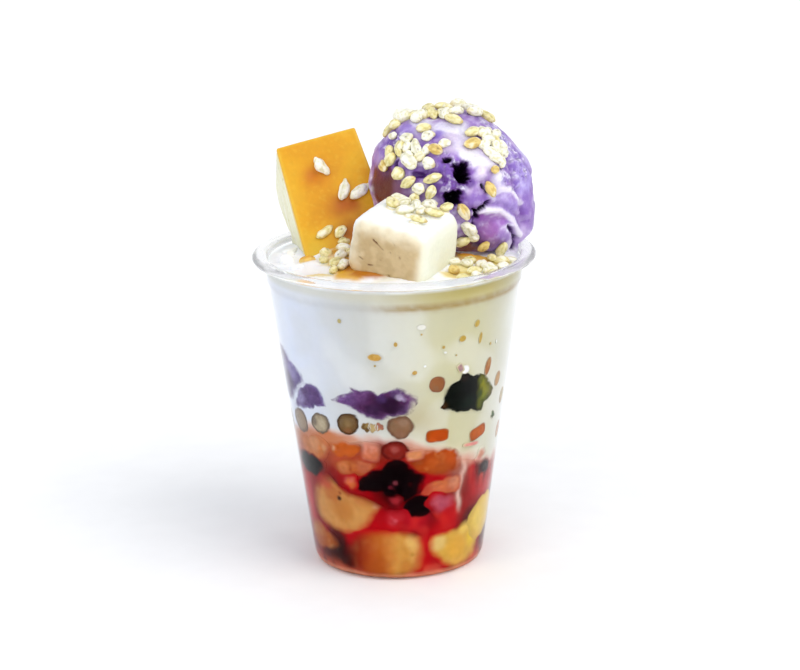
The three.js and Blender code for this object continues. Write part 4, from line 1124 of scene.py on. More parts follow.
# A piece has its turn and level and its depth into the cup, as in the part's source. Its form comes
# from an outline, in millimetres across and up from its middle, or from the kind's form with a width,
# a height and a roll in the plane of the wall. Core is its main colour, mottle that of its blotches
# and edge that near its margin. Tints are patches of colour on it: across, up, size, colour and
# strength. Bands are the colours from its left to its right.
sweets = {
    "ube_chunk": {
        "title": "ubeChunk", "form": cragForm, "material": ubeJam, "slot": "ube",
        "core": "#522850", "edge": "#775686", "mottle": "#2E1832",
        "mottled": 0.6, "grainy": 0.35, "melt": 0.85, "margin": (0.82, 1.02),
        "front": [
            {"turn": -80, "level": 70.5, "deep": 9, "core": "#533B76", "edge": "#6E5A9A",
             "outline": [(-9, 1), (-6, 8), (9.8, 7), (13.6, 5.3), (16.7, 2.7), (17.4, 0.6), (13.3, -2.3),
                         (9, -5.9), (6.9, -8.8), (-1.2, -9.5), (-8, -7)],
             "tints": [(-3, 0, 4, "#4E3D6E", 0.7), (10, 3, 4, "#9488C0", 0.7), (3, 4, 3, "#8D7FB8", 0.6)]},
            {"turn": -51, "level": 66.4, "deep": 9, "core": "#5E4276", "edge": "#8172A8",
             "outline": [(-11.6, -6.5), (-8.1, -2.4), (-3.4, 2.4), (0.8, 4.6), (4.8, 4.3), (6.6, 1.7),
                         (7.5, -1), (7.8, -2.7), (5.8, -3), (2.6, -3.4), (-2.2, -5.3), (-6.8, -6.4)],
             "tints": [(0, -1, 3, "#5B4378", 0.6), (-6, -2, 3, "#A398C8", 0.6)]},
            {"turn": -12, "level": 67, "deep": 12,
             "outline": [(-15.2, -0.3), (-12.3, 2.2), (-9.2, 3.4), (-8.5, 5.6), (-7.4, 4.5), (-4.6, 4.7),
                         (-0.7, 5), (2, 3.5), (5.3, 4.9), (8, 6.1), (10, 5.9), (12, 4.3), (14.8, 2.5),
                         (15, 0.4), (13.3, -2.5), (11.2, -4.4), (8, -4.9), (5.4, -4.9), (3.2, -6.1),
                         (-0.1, -5.9), (-3.4, -4.6), (-6.7, -2.6), (-10.1, -1.2), (-13, -0.8)],
             "tints": [(-10, 1.4, 4.5, "#74518A", 0.8), (-4.6, 3.4, 3.5, "#6C4678", 0.7),
                       (6, -0.8, 4.2, "#241026", 0.85), (0, -2.6, 3, "#34203F", 0.7),
                       (11, -2.6, 2.8, "#3A2340", 0.8), (8, 5, 2.6, "#604674", 0.7),
                       (13, 2.6, 2.2, "#86587A", 0.7), (3, 2.2, 2, "#4B3264", 0.6),
                       # a painted highlight on the right of the chunk
                       (9, 2.5, 1.3, "#B7A6C2", 0.8), (10.4, 1.6, 0.8, "#A08CB0", 0.7)]},
        ],
        "rear": {"count": 2, "low": 66, "high": 70, "wide": 22, "tall": 12, "deep": 10},
    },
    "green_jelly": {
        "title": "greenJelly", "form": blockForm, "material": agarJelly, "slot": "green_jelly",
        "core": "#010301", "edge": "#050904", "mottle": "#061A0C",
        "mottled": 0.4, "melt": 0.8, "margin": (0.93, 1.03),
        "front": [
            {"turn": 40.5, "level": 68, "deep": 11,
             "outline": [(-12.2, -3.9), (-10.6, -2.3), (-10.4, 1.2), (-8.3, 4.4), (-5.3, 5.6),
                         (-4.2, 7.7), (-2.2, 7.9), (0.9, 5.8), (5.7, 5.6), (9.3, 2.3), (12.7, -1.7),
                         (11.8, -3.8), (7.6, -5.6), (6.6, -8.3), (1.5, -6.7), (-2.8, -6.6), (-7.5, -5)],
             "tints": [(8.8, -0.6, 4.4, "#8A880C", 0.95), (7, -5, 3.2, "#747A0C", 0.9),
                       (7, 3.6, 3.4, "#94900C", 0.95), (11.5, -2.6, 2, "#8A7A20", 0.8),
                       (5.2, -1.4, 1.5, "#1F3B13", 0.7), (4.6, 3, 1.2, "#24401A", 0.6),
                       (-11, -3.2, 2.2, "#5A371A", 0.9), (-3, 6.6, 1.8, "#33231E", 0.6),
                       (0, -4, 4, "#051A10", 0.5)]},
        ],
        "rear": {"count": 1, "low": 69, "high": 70, "wide": 20, "tall": 13, "deep": 11},
    },
    "tapioca_pearl": {
        "title": "tapiocaPearl", "form": ballForm, "material": cookedTapioca, "slot": "tapioca",
        "core": "#96806A", "edge": "#5D4E42", "mottle": "#7C6850",
        # the darker edge round each pearl is painted shade
        "rimmed": 0.85, "melt": 0.75, "margin": (0.9, 1.04),
        "front": [
            {"turn": -84, "level": 52.7, "wide": 8.4, "high": 8.6, "deep": 8, "core": "#6F5B3E"},
            {"turn": -64, "level": 55.4, "deep": 8.6, "core": "#9E8974", "edge": "#72625A",
             "outline": [(-5.3, 0.6), (-3, 3.4), (0.1, 4.2), (3.1, 3.9), (4.8, 0.4), (4.5, -2.6),
                         (1.7, -4.3), (-2.8, -3.8)]},
            {"turn": -45.5, "level": 56.9, "deep": 8.6, "core": "#B4A387", "edge": "#564840",
             "outline": [(-4.5, -1.1), (-3, 2.3), (1, 3.9), (3.9, 3.2), (4.8, 1), (3.7, -2.1),
                         (1.3, -3.7), (-1.9, -3.5)],
             "tints": [(-2.6, 0.4, 1.6, "#6B5C52", 0.7), (1.2, 0.2, 1.8, "#C4B598", 0.7)]},
            {"turn": -27, "level": 58.4, "deep": 8.6, "core": "#755632", "edge": "#3E2A1C",
             "outline": [(-3.9, 0.1), (-2.8, 3), (0.3, 4.5), (3.6, 4.1), (4.4, 0.9), (2.9, -2.4),
                         (-0.1, -3.8), (-2.9, -2.8)],
             "tints": [(0.2, 0.6, 1.7, "#8C7048", 0.8), (0.2, -2.6, 1.6, "#8F5B38", 0.7)]},
            {"turn": 2, "level": 58, "deep": 8.8, "core": "#8E6448", "edge": "#6E5040",
             "outline": [(-4.7, 0.9), (-4, 3.3), (-1.6, 4.4), (2.2, 4.4), (4.1, 2.5), (4.8, 0.3),
                         (3.2, -1.8), (1, -4), (-1.2, -4.1), (-3.4, -2.2), (-4.6, -0.3)],
             "tints": [(-0.5, -2.4, 2, "#8E6650", 0.6), (1, 2.4, 2.2, "#9A7C66", 0.6)]},
            {"turn": 20, "level": 73.3, "deep": 6, "core": "#9A5F3A", "edge": "#8C5C44",
             "outline": [(-2.5, 0.1), (-1.7, 2.1), (0.5, 3), (3, 1.9), (3.2, -0.6), (2.2, -2.8),
                         (-0.1, -2.9)]},
        ],
        "rear": {"count": 3, "low": 55, "high": 59, "wide": 9, "tall": 9, "deep": 9},
    },
    "red_pearl": {
        "title": "redPearl", "form": ballForm, "material": cookedTapioca, "slot": "red_tapioca",
        # the dark edge round the pearl is painted shade
        "core": "#82221A", "edge": "#3A0405", "mottle": "#600E0C",
        "melt": 0.6, "margin": (0.88, 1.04),
        "front": [
            {"turn": -1, "level": 49.4, "deep": 9,
             "outline": [(-5.1, 0.5), (-2.8, 3.2), (0.8, 4), (3.4, 2.5), (4.8, 0.1), (2.8, -2.4),
                         (0.1, -3.4), (-2.6, -2.9), (-4.7, -1.1)],
             # painted light in the lighter middle
             "tints": [(-0.2, 0.8, 1.6, "#AC5048", 0.8)]},
        ],
        "rear": {"count": 1, "low": 49, "high": 50, "wide": 9.5, "tall": 9, "deep": 9},
    },
    "fruit_jelly": {
        "title": "fruitJelly", "form": blockForm, "material": agarJelly, "slot": "fruit_jelly",
        "core": "#BC5220", "edge": "#9C3A18", "mottle": "#D07A3E",
        "grainy": 0.12, "melt": 0.95, "margin": (0.72, 1.02),
        "front": [
            {"turn": -58, "level": 47.4, "deep": 8, "core": "#BE7340", "edge": "#B9623A",
             "outline": [(-14, -3), (-6, 0.8), (0.2, 1.9), (10.6, 2.5), (11.7, 1), (9.9, -1.6),
                         (-1.4, -3.4), (-13, -5)],
             "tints": [(3, 1.4, 3.5, "#D09468", 0.7), (9, 0.8, 2, "#D8A878", 0.7),
                       (-8, -4, 4, "#AD4A2C", 0.8)]},
            {"turn": -30.5, "level": 48.4, "deep": 8, "core": "#C25A1E", "edge": "#B4521F",
             "outline": [(-5.5, 1.4), (-2.8, 2.5), (2.4, 3), (5.9, 3), (7.1, 1.7), (5, -0.6), (0.1, -1.5),
                         (-4.9, -2.3), (-5.9, -0.5)],
             "tints": [(-4.9, 0.4, 1.4, "#D9B184", 0.8)]},
            {"turn": 21.5, "level": 45, "deep": 9, "core": "#AA4212", "edge": "#8E3612",
             "outline": [(-9.5, 0.1), (-7.7, 1.8), (-4.5, 3), (0.7, 3.3), (9.5, 1.8), (10.6, -1.7),
                         (9.9, -4.6), (6, -5.8), (1.6, -5.9), (-3.1, -4.9), (-7.6, -3)],
             "tints": [(-6, 1, 2.2, "#8A3716", 0.7), (2, -3.6, 4, "#A6501F", 0.6),
                       (6, 0.8, 3, "#C4541A", 0.7), (-1, -0.5, 2, "#C65E22", 0.5)]},
            {"turn": -26, "level": 41.4, "deep": 9, "core": "#AC4E28", "edge": "#98341C",
             "outline": [(-8.5, 1.8), (-5.5, 3.5), (0.5, 4.8), (5.8, 4.8), (9.8, 4.2), (9.1, 2),
                         (6.4, -0.1), (1.1, -1.5), (-4.8, -2.4), (-7.4, -0.5)],
             "tints": [(-4, 0.6, 2.5, "#C8794A", 0.6), (4, 2.4, 3, "#BE6A4C", 0.6)]},
            {"turn": 31, "level": 35, "deep": 9, "core": "#C0603F", "edge": "#B03C30",
             "outline": [(-13, -3.1), (-11.2, 0.1), (-8.4, 2), (-3, 2.3), (1.6, 3.3), (5.1, 2.8),
                         (6, 0.3), (5.2, -2.9), (0.3, -4), (-5.4, -4.5), (-10, -4.7)],
             "tints": [(2.5, 0.8, 3, "#CB8E70", 0.6), (-9, -1.4, 3, "#AE3424", 0.7),
                       (-3, -1, 2.5, "#CB6E44", 0.5)]},
        ],
        "rear": {"count": 2, "low": 43, "high": 47, "wide": 18, "tall": 7.5, "deep": 9},
    },
    "sweet_bean": {
        "title": "sweetBean", "form": beanForm, "material": soakedBean, "slot": "sweet_bean",
        "core": "#060102", "edge": "#1C0305", "mottle": "#1A0305",
        "melt": 1.0, "margin": (0.84, 1.05),
        "front": [
            {"turn": -60.5, "level": 39.4, "deep": 8, "margin": (0.74, 1.02),
             "outline": [(-8.7, 0.6), (0.3, 3.8), (6, 3.8), (9.4, 2.7), (9, 0.4), (6.3, -1.8), (-0.6, -3.5),
                         (-6, -2.6)]},
            {"turn": -6, "level": 38.4, "deep": 9,
             "outline": [(-12.5, -4), (-7.2, 2), (-1.8, 4.8), (0.6, 8), (6.4, 8.2), (8.2, 5.2),
                         (11, 2.8), (14, 1), (12, -2.4), (10.4, -7.6), (7, -10), (4.2, -7), (2.4, -4),
                         (-2, -4), (-7.6, -4.6)],
             # painted glints on the bean skins
             "tints": [(2.6, -0.8, 0.9, "#8A3A44", 0.6), (1, -2.4, 0.8, "#7A2230", 0.6),
                       (7.6, -1.4, 0.7, "#5A1A1E", 0.5)]},
            {"turn": 12, "level": 29.5, "deep": 8,
             "outline": [(-5.4, -0.4), (-2.6, 2.2), (2.4, 2.8), (6.4, 0.8), (4.6, -3.8), (-0.6, -5.4),
                         (-4.4, -4.2)]},
            {"turn": 64, "level": 36.6, "deep": 6, "core": "#26040A",
             "margin": (0.5, 1.0),
             "outline": [(-7.4, 2.6), (-6, 4.4), (-1.1, 3.9), (1.4, 0.3), (-1.5, -1.6), (-6.4, -0.6)]},
        ],
        "rear": {"count": 2, "low": 33, "high": 37, "wide": 13, "tall": 8, "deep": 8},
    },
    "banana_slice": {
        "title": "bananaSlice", "form": sliceForm, "material": stewedBanana, "slot": "banana",
        "core": "#D0944A", "edge": "#C48644", "mottle": "#E0B46C",
        "mottled": 0.25, "grainy": 0.02, "rimmed": 0.4, "melt": 1.0, "margin": (0.66, 1.02),
        "ragged": 0.02,
        "front": [
            {"turn": -36, "level": 25.6, "deep": 11, "core": "#C88A48", "edge": "#C48C4A",
             "outline": [(-14.4, 4.2), (-11.8, 8.9), (-8.8, 11.8), (-4.8, 12.9), (-2.2, 11.4),
                         (-0.6, 9.5), (1.7, 8.2), (3.7, 7.2), (6.7, 6.9), (10.3, 6.2), (13.1, 4.7),
                         (14.9, 3.1), (12.6, -0.4), (10.3, -4.5), (7.4, -7.1), (2.1, -9.5),
                         (-3, -9.3), (-8.1, -8.3), (-13, -6), (-15, -2.1)],
             "tints": [(6, -3, 5, "#CE9450", 0.8), (-12, 2, 4.5, "#CC9450", 0.8),
                       (0, 0, 4.6, "#BA7434", 0.7), (-6, -5, 4, "#CC9250", 0.6),
                       (8, 5.4, 3, "#B86A3A", 0.6), (-4, 6, 4, "#B4602C", 0.7),
                       (-9.8, 10.6, 4.2, "#C41F3E", 0.95), (-5.4, 9.6, 2.6, "#BE3A34", 0.7),
                       (13, 3.2, 1.3, "#DCC096", 0.8), (-0.2, 6.4, 0.7, "#7A2A1C", 0.7),
                       (-0.7, 4.2, 1.0, "#2A0A0A", 0.95)]},
            {"turn": -9.5, "level": 10, "deep": 13, "core": "#BC7A34",
             "mottled": 0.06, "rimmed": 0.0,
             "outline": [(-13, 5.6), (-9, 8.6), (-3, 9.8), (3, 9.6), (9.6, 9), (13, 7),
                         (14, 2.5), (13.8, -2), (12.6, -6), (7.7, -8.4), (-1, -8.8), (-9.4, -8.6),
                         (-13, -6.4), (-14, -1.0)],
             "bands": [(-13, "#5C0A06"), (-9, "#8A2810"), (-5.5, "#A64218"), (-1.5, "#B86022"),
                       (2, "#C67C38"), (5, "#CC9446"), (7, "#C68A3E"), (9.5, "#D09C50"), (12.5, "#C68E4A")],
             "tints": [(10, 5, 3, "#DDB468", 0.7), (8, -6, 4, "#B8702E", 0.6), (-3, -6, 5, "#A44A1A", 0.5),
                       (9.4, 0, 0.7, "#A87434", 0.5)]},
            {"turn": 41, "level": 11.4, "deep": 12, "core": "#D2A446", "edge": "#CC9C4C",
             "outline": [(-12.2, 2.9), (-11.4, 5.3), (-6, 6), (-1.1, 6.5), (2.9, 8.8), (9.5, 5.7),
                         (11.4, 1.7), (10.6, -7.2), (4.3, -9.8), (-2.9, -8.9), (-7.4, -5), (-11.4, -0.9)],
             "tints": [(-8.5, 2, 3.4, "#E0C47C", 0.8), (0, -1, 4.5, "#DCA640", 0.8),
                       (8, 1, 4, "#E4C43C", 0.85), (1, -8, 3, "#DCA850", 0.6),
                       (3, 6, 3, "#EBD06A", 0.6)]},
            {"turn": -62, "level": 12.5, "deep": 11, "core": "#A8541C", "edge": "#8A3010",
             "outline": [(-5, 4.2), (0.9, 6.3), (5.7, 3.5), (10.2, 1.2), (11.2, -1.3), (8.1, -3.8),
                         (3.2, -4.2), (-4.6, -4.1), (-7, -1)]},
            {"turn": 70, "level": 21, "deep": 11, "core": "#E6C65C", "edge": "#DCB44C", "melt": 0.25,
             "outline": [(-11.4, -3), (-8.2, 2.8), (-2, 5), (4, 4), (7.3, -1), (6.3, -6.4),
                         (1.3, -9.4), (-5.4, -11)]},
        ],
        "rear": {"count": 3, "low": 11, "high": 24, "wide": 24, "tall": 17, "deep": 11},
    },
}
# Each piece reaches a little further into the wall than the one before, so that no two faces meet.
sweetSurface = {"fineness": 6, "rearFineness": 5, "firstReach": 0.2, "reachStep": 0.008, "bulge": 0.8,
                "wobble": 0.08, "wobbleSize": 2.6, "broadSize": 5.5, "fineSize": 1.5, "speckSize": 0.7}
# How strongly a piece is mottled, grained and coloured at its edge, how much its margin takes the
# colour of what it lies in, between which shares of its width, and how ragged that margin is.
plainLook = {"mottled": 0.5, "grainy": 0.1, "rimmed": 0.6, "melt": 0.9, "margin": (0.78, 1.02),
             "ragged": 0.1}
# The pieces behind are spread from this turn over this many degrees, as in the part's source.
rearRule = {"from": 100, "over": 160, "turnJitter": 14, "levelStep": 0.618, "levelJitter": 0.3,
            "least": 0.9, "spread": 0.2, "roll": 24}


def rearPieces(rear, seed):
    draw = seeded(seed)
    rule = rearRule
    pieces = []
    for i in range(rear["count"]):
        pieces.append({
            "turn": rule["from"] + rule["over"] * (i + 0.5) / rear["count"]
            + rule["turnJitter"] * (next(draw) - 0.5),
            "level": rear["low"] + (rear["high"] - rear["low"])
            * ((i * rule["levelStep"] + rule["levelJitter"] * next(draw)) % 1),
            "wide": rear["wide"] * (rule["least"] + rule["spread"] * next(draw)),
            "high": rear["tall"] * (rule["least"] + rule["spread"] * next(draw)),
            "deep": rear["deep"],
            "roll": -rule["roll"] * (next(draw) - 0.5),
        })
    return pieces


def outlineAt(kind, item, x, z, seed):
    # the outline, in millimetres across and up, towards each point of the unit circle
    if "outline" in item:
        corners = np.array(item["outline"], float)
        angles = np.arctan2(corners[:, 1], corners[:, 0])
        order = np.argsort(angles)
        lengths = np.hypot(*corners.T)[order]
        reach = np.interp(np.arctan2(z, x), angles[order], lengths, period=math.tau)
        return x * reach, z * reach
    across, up = kind["form"](x, z, seed)
    across, up = across * item["wide"] / 2, up * item["high"] / 2
    roll = math.radians(item.get("roll", 0))
    return (across * math.cos(roll) - up * math.sin(roll), across * math.sin(roll) + up * math.cos(roll))


def onWall(item, across, up, depth):
    # bends what is drawn flat round the inside of the cup
    level = np.maximum(item["level"] + up * math.cos(wallSlope), cup["wall"] + 0.1)
    wall = insideRadius(level)
    turn = item["turn"] + np.degrees(np.arcsin(np.clip(across / wall, -1, 1)))
    radius = wall - depth
    return np.stack([radius * np.sin(np.radians(turn)), -radius * np.cos(np.radians(turn)), level], -1)


def pressedPiece(kind, item, seed, reach, fineness):
    look, surface = {**plainLook, **kind, **item}, sweetSurface
    piece = iceBall(fineness)
    x, y, z = whereIs(piece).T
    fromMiddle = np.hypot(x, z)
    length = np.maximum(fromMiddle, 1e-6)
    across, up = outlineAt(kind, item, x / length, z / length, seed)
    across, up = across * fromMiddle, up * fromMiddle
    flat = np.stack([across, up, 0 * up + 5 * seed], -1)
    wobble = rough(flat, surface["wobbleSize"], 51)
    swing = 1 + surface["wobble"] * wobble * fromMiddle
    across, up = across * swing, up * swing
    depth = np.where(y > 0, item["deep"] * np.maximum(y, 0) ** surface["bulge"], 0) - reach
    points = onWall(item, across, up, depth)
    moveTo(piece, points)

    broad, fine = rough(flat, surface["broadSize"], 52), rough(flat, surface["fineSize"], 53)
    speck = rough(flat, surface["speckSize"], 54)
    paint = Paint(len(x), look["core"])
    if "bands" in item:
        paint.grade(across + 0.8 * wobble + 0.4 * fine, item["bands"])
    paint.mix(look["mottle"], look["mottled"] * smooth(broad + 0.5 * fine, 0.1, 0.6))
    for tintAcross, tintUp, size, colour, strength in item.get("tints", []):
        distance = np.hypot(across - tintAcross, up - tintUp)
        distance += size * (0.22 * wobble + 1.3 * look["ragged"] * fine)
        paint.mix(colour, strength * smooth(distance, 1.35 * size, 0.45 * size))
    shade = fromMiddle + 0.1 * wobble
    paint.mix(look["edge"], look["rimmed"] * smooth(shade, 0.62, 0.92))
    paint.scale(1 + look["grainy"] * (fine + 0.6 * speck))
    # its margin takes the colour of the milk or syrup that it lies in
    share = look["melt"] * smooth(shade + look["ragged"] * fine, *look["margin"])
    rim = share > 0
    above = points[rim, 2] - seamLevel(*points[rim, :2].T)
    surround = milkPaint(points[rim], above)
    surround.blend(syrupPaint(points[rim], -above), above < 0)
    paint.coat[rim] += (surround.coat - paint.coat[rim]) * share[rim, None]
    applyPaint(piece, paint.coat)
    return piece


placed = 0
for kindIndex, (node, kind) in enumerate(sweets.items()):
    items = kind["front"] + rearPieces(kind["rear"], 31 * kindIndex + 7)
    for index, item in enumerate(items):
        reach = sweetSurface["firstReach"] + sweetSurface["reachStep"] * placed
        fineness = sweetSurface["fineness" if index < len(kind["front"]) else "rearFineness"]
        piece = pressedPiece(kind, item, index, reach, fineness)
        finishPiece(piece, f"{kind['title']}{index + 1}", kind["material"],
                    [f"{node}_{index + 1}"])
        placed += 1
print("sweets ready")


# The small things at the wall, each kind joined to one piece. A row is one of them: turn, level,
# width, height, roll and colour.
bits = {
    "jellyPills": {
        "form": blockForm, "material": agarJelly, "slot": "fruit_jelly", "edge": "#8E4A1A",
        "mottle": "#D8622C", "deep": 4, "melt": 0.6, "margin": (0.9, 1.03),
        "pieces": [
            (105, 57, 8, 4.4, 20, "#BE4A0E"), (196, 50.5, 8, 4.2, -16, "#BE5C1A"),
            (250, 55, 8, 4.4, 8, "#BE4A0E"), (22, 54.3, 8.4, 4.8, 0, "#BE4A0E"),
            (49.5, 52, 8.2, 4.6, 14, "#BE5C1A"), (128, 53, 8, 4.4, -10, "#CC4A18"),
            (171, 56, 7.6, 4.2, 12, "#C9511E"), (222, 52.5, 8.2, 4.6, -4, "#CC4A18")],
    },
    "toastedSeeds": {
        "form": ballForm, "material": toastedRice, "slot": "tapioca", "edge": "#9A6A30",
        "mottle": "#C79A5A", "deep": 3, "melt": 0.35,
        "pieces": [
            (52, 75.8, 3.0, 6.6, -12, "#A8601A"), (63.5, 69.3, 3.6, 5.4, -14, "#B98A4E"),
            (74, 61.3, 4.2, 6, -10, "#A98F42"), (76, 48.6, 4.4, 6.4, -16, "#B8742F"),
            (86, 75, 3, 6.5, -6, "#A88A48"), (113, 73, 3.2, 5.8, 20, "#A8601A"),
            (142, 79, 3.4, 5.6, -20, "#B98A4E"), (188, 76, 3.2, 6, 8, "#A8601A"),
            (231, 72, 3.4, 5.8, -12, "#A98F42"), (256, 79, 3.2, 5.2, 16, "#B98A4E")],
    },
    "goldenSpecks": {
        "form": ballForm, "material": toastedRice, "slot": "custard", "edge": "#C39A48",
        "mottle": "#D6B466", "deep": 1.2,
        "pieces": [
            (-10, 84.1, 5.2, 2.8, 0, "#C69538"), (9, 78.3, 1.9, 1.7, 20, "#BE9440"),
            (0, 88.8, 1.4, 1.9, 0, "#B99546"), (33, 88.6, 3.0, 2.4, 15, "#C2A040"),
            (23, 86.6, 1.3, 1.3, 0, "#B79A50"), (44, 87.4, 1.5, 4.4, -6, "#C0A04A"),
            (-10, 81, 0.9, 0.7, 0, "#B79A50"), (41, 93, 2.2, 2.8, -20, "#C4A648"),
            (-26, 96.4, 1.3, 1.7, 0, "#C0B070"), (30, 83, 0.8, 0.8, 0, "#B09A58"),
            (52, 84, 1.0, 1.2, 0, "#B89C50"), (12, 92, 0.8, 0.8, 0, "#BBA260"),
            (118, 88, 2.6, 2, 10, "#C2A040"), (139, 93, 1.6, 2.4, 0, "#C4A648"),
            (104, 82, 1.4, 2.6, -20, "#BE9440"), (126, 95, 1.2, 1.2, 0, "#C0B070"),
            (152, 83, 1.2, 1.0, 0, "#B79A50"), (171, 94, 2.6, 2.0, 14, "#C2A040"),
            (184, 82, 1.8, 1.4, 0, "#BE9440"), (205, 97, 1.4, 1.8, 0, "#C0B070"),
            (226, 92, 1.2, 1.0, 0, "#B79A50"), (236, 86, 3.0, 2.0, -20, "#C69538"),
            (262, 84, 1.6, 2.4, 0, "#BE9440"), (163, 86, 3.6, 2.2, -12, "#C69538"),
            (196, 90, 1.5, 1.6, 0, "#BE9440"), (214, 84, 2.4, 1.8, 20, "#C69538"),
            (245, 92, 1.8, 2.4, 0, "#C2A040"), (-96, 88, 1.6, 1.4, 0, "#BE9440")],
    },
    # white spots at the wall: cream clots, and painted glints
    "creamClotsAndGlints": {
        "form": ballForm, "material": milkCream, "slot": "milk", "edge": "#E6DDDC",
        "mottle": "#FFFFFF", "deep": 2,
        "pieces": [
            (36, 77.1, 3.6, 3.4, 0, "#FBF6F4"), (14, 80.4, 1.1, 0.9, 30, "#F6F6F2"),
            (24, 84.6, 1.3, 0.9, -10, "#F4F4EE"), (12, 94.6, 3.2, 2, 0, "#E9E5DA"),
            (57, 84, 0.9, 1.6, 0, "#F4F4F0")],
    },
    "pinkClots": {
        "form": blockForm, "material": agarJelly, "slot": "fruit_jelly", "edge": "#CF8A78",
        "mottle": "#DDA090", "deep": 4, "margin": (0.5, 1.0),
        "pieces": [
            (-14.5, 49, 7.2, 8, -8, "#C8704E"), (33, 77.9, 2.4, 3.6, 30, "#9C7F86"),
            (45, 48.3, 8.4, 1.6, -5, "#DB8F88"), (9.5, 47.7, 6.6, 4.2, 8, "#CF8658")],
    },
    "pearlScraps": {
        "form": cragForm, "material": cookedTapioca, "slot": "tapioca", "edge": "#8A6B3C",
        "mottle": "#C9A766", "deep": 3,
        "pieces": [
            (-16.2, 58.3, 3.4, 3.8, 0, "#6A4F2E"), (-12.6, 58.2, 3.4, 3.6, 0, "#B9A070"),
            (-9.2, 58.6, 3.2, 3.2, 0, "#A86A58"), (63, 56.2, 2.6, 3.2, 30, "#3E5A2A"),
            (98, 63, 5, 4.6, 0, "#6A4F2E"), (112, 66, 4, 4.4, 0, "#8A6A48"),
            (150, 60, 5.4, 5, 10, "#8A6A48"), (160, 67, 4, 3.6, 0, "#6A4F2E"),
            (176, 62, 3.6, 3.8, 0, "#B9A070"), (201, 66, 5, 4.6, 0, "#7A5C3C"),
            (212, 60, 4.6, 5, 0, "#6A4F2E"), (243, 64, 4.2, 4, 0, "#8A6A48"),
            (252, 60, 3.4, 3.8, 20, "#A86A58"), (232, 57, 3, 3, 0, "#B9A070")],
    },
    "syrupFruit": {
        "form": cragForm, "material": agarJelly, "slot": "fruit_jelly", "edge": "#A02030",
        "mottle": "#C8606A", "deep": 5, "melt": 1.0, "margin": (0.25, 0.98),
        "pieces": [
            (-28, 37, 6.5, 6.5, 0, "#CC6634"), (27, 28.7, 13, 9, -6, "#B04A5E"),
            (-2, 24.5, 10, 7, 20, "#B4202A"), (55, 43, 7, 5, 30, "#C98A74"),
            (-1.5, 31, 5.5, 5, 0, "#9A2028"), (96, 33, 9, 7, 10, "#C46038"),
            (97, 13, 8, 7, 0, "#A8404A"), (124, 41, 12, 7, -8, "#C8704E"),
            (139, 30, 9, 8, 0, "#CC6634"), (153, 14, 7, 8, 20, "#A02430"),
            (166, 35, 10, 7, -10, "#C46038"), (181, 33, 8, 6, 0, "#A8404A"),
            (197, 42, 11, 7, 8, "#CC6634"), (208, 30, 9, 7, 0, "#C8704E"),
            (206, 13, 7, 8, -20, "#A02430"), (237, 38, 10, 7, 0, "#C46038"),
            (252, 27, 9, 8, 10, "#B04A5E"), (266, 40, 9, 6, 0, "#CC6634")],
    },
}
bitSurface = {"fineness": 4, "firstReach": 0.54, "reachStep": 0.012}

for order, (name, kind) in enumerate(bits.items()):
    pieces = []
    for index, (turn, level, wide, high, roll, colour) in enumerate(kind["pieces"]):
        item = {"turn": turn, "level": level, "wide": wide, "high": high, "deep": kind["deep"],
                "roll": roll, "core": colour}
        reach = bitSurface["firstReach"] + bitSurface["reachStep"] * order
        pieces.append(pressedPiece(kind, item, index + 3, reach, bitSurface["fineness"]))
    finishPiece(join(pieces), name, kind["material"])
print("small things ready")


# The toasted rice, laid on the finished surfaces.

def settle(tree, start, inward):
    # where a grain dropped inward from start meets the surface
    hit = tree.ray_cast(Vector(start) * mm, Vector(inward))[0]
    return None if hit is None else np.array(hit) / mm


def layGrains(milkTree):
    # each grain: its place, which way is out and which way it points, its length, width and tone
    grains = []

    def lay(tree, start, outward, east, spin, length, width, tone):
        place = settle(tree, start, -outward)
        if place is None:
            return
        north = np.cross(outward, east)
        along = east * math.cos(math.radians(spin)) + north * math.sin(math.radians(spin))
        grains.append((place, outward, along, length, width, tone))

    def layOnScoop(turn, lift, *rest):
        outward = direction(turn, lift)
        start = scoopCentre + outward * rice["scoopDrop"]
        lay(toppingTrees[0], start, outward, direction(turn + 90), *rest)

    for turn, lift, *rest in rice["scoop"]:
        layOnScoop(turn, lift, *rest)
    draw = seeded(77)
    for i in range(rice["rearCount"]):
        out = rice["rearSpread"] * math.sqrt((i + 0.5) / rice["rearCount"])
        spiral = i * rice["rearStep"] + next(draw)
        lift = rice["rearLift"] + out * math.sin(spiral) * rice["rearSquash"]
        turn = rice["rearTurn"] + out * math.cos(spiral) / math.cos(math.radians(min(lift, 75)))
        tone = rice["rearTones"][int(4 * next(draw))]
        layOnScoop(turn, lift, 180 * next(draw), 5.4 + 2.4 * next(draw), 3.2 + 0.8 * next(draw), tone)
    for across, down, *rest in rice["flan"]:
        outward = -flanPosture[:, 1]
        start = placeFlan(np.array([[across, 0.0, -down]]))[0] + outward * rice["blockDrop"]
        lay(toppingTrees[2], start, outward, flanPosture[:, 0], *rest)
    for across, inward, *rest in rice["pudding"]:
        start = placePudding(np.array([[across, inward, rice["blockDrop"]]]))[0]
        lay(toppingTrees[3], start, puddingPosture[:, 2], puddingPosture[:, 0], *rest)
    upward, east = np.array([0, 0, 1.0]), np.array([1.0, 0, 0])
    for x, y, *rest in rice["cream"]:
        lay(milkTree, np.array([x, y, rice["creamDrop"]]), upward, east, *rest)
    return grains


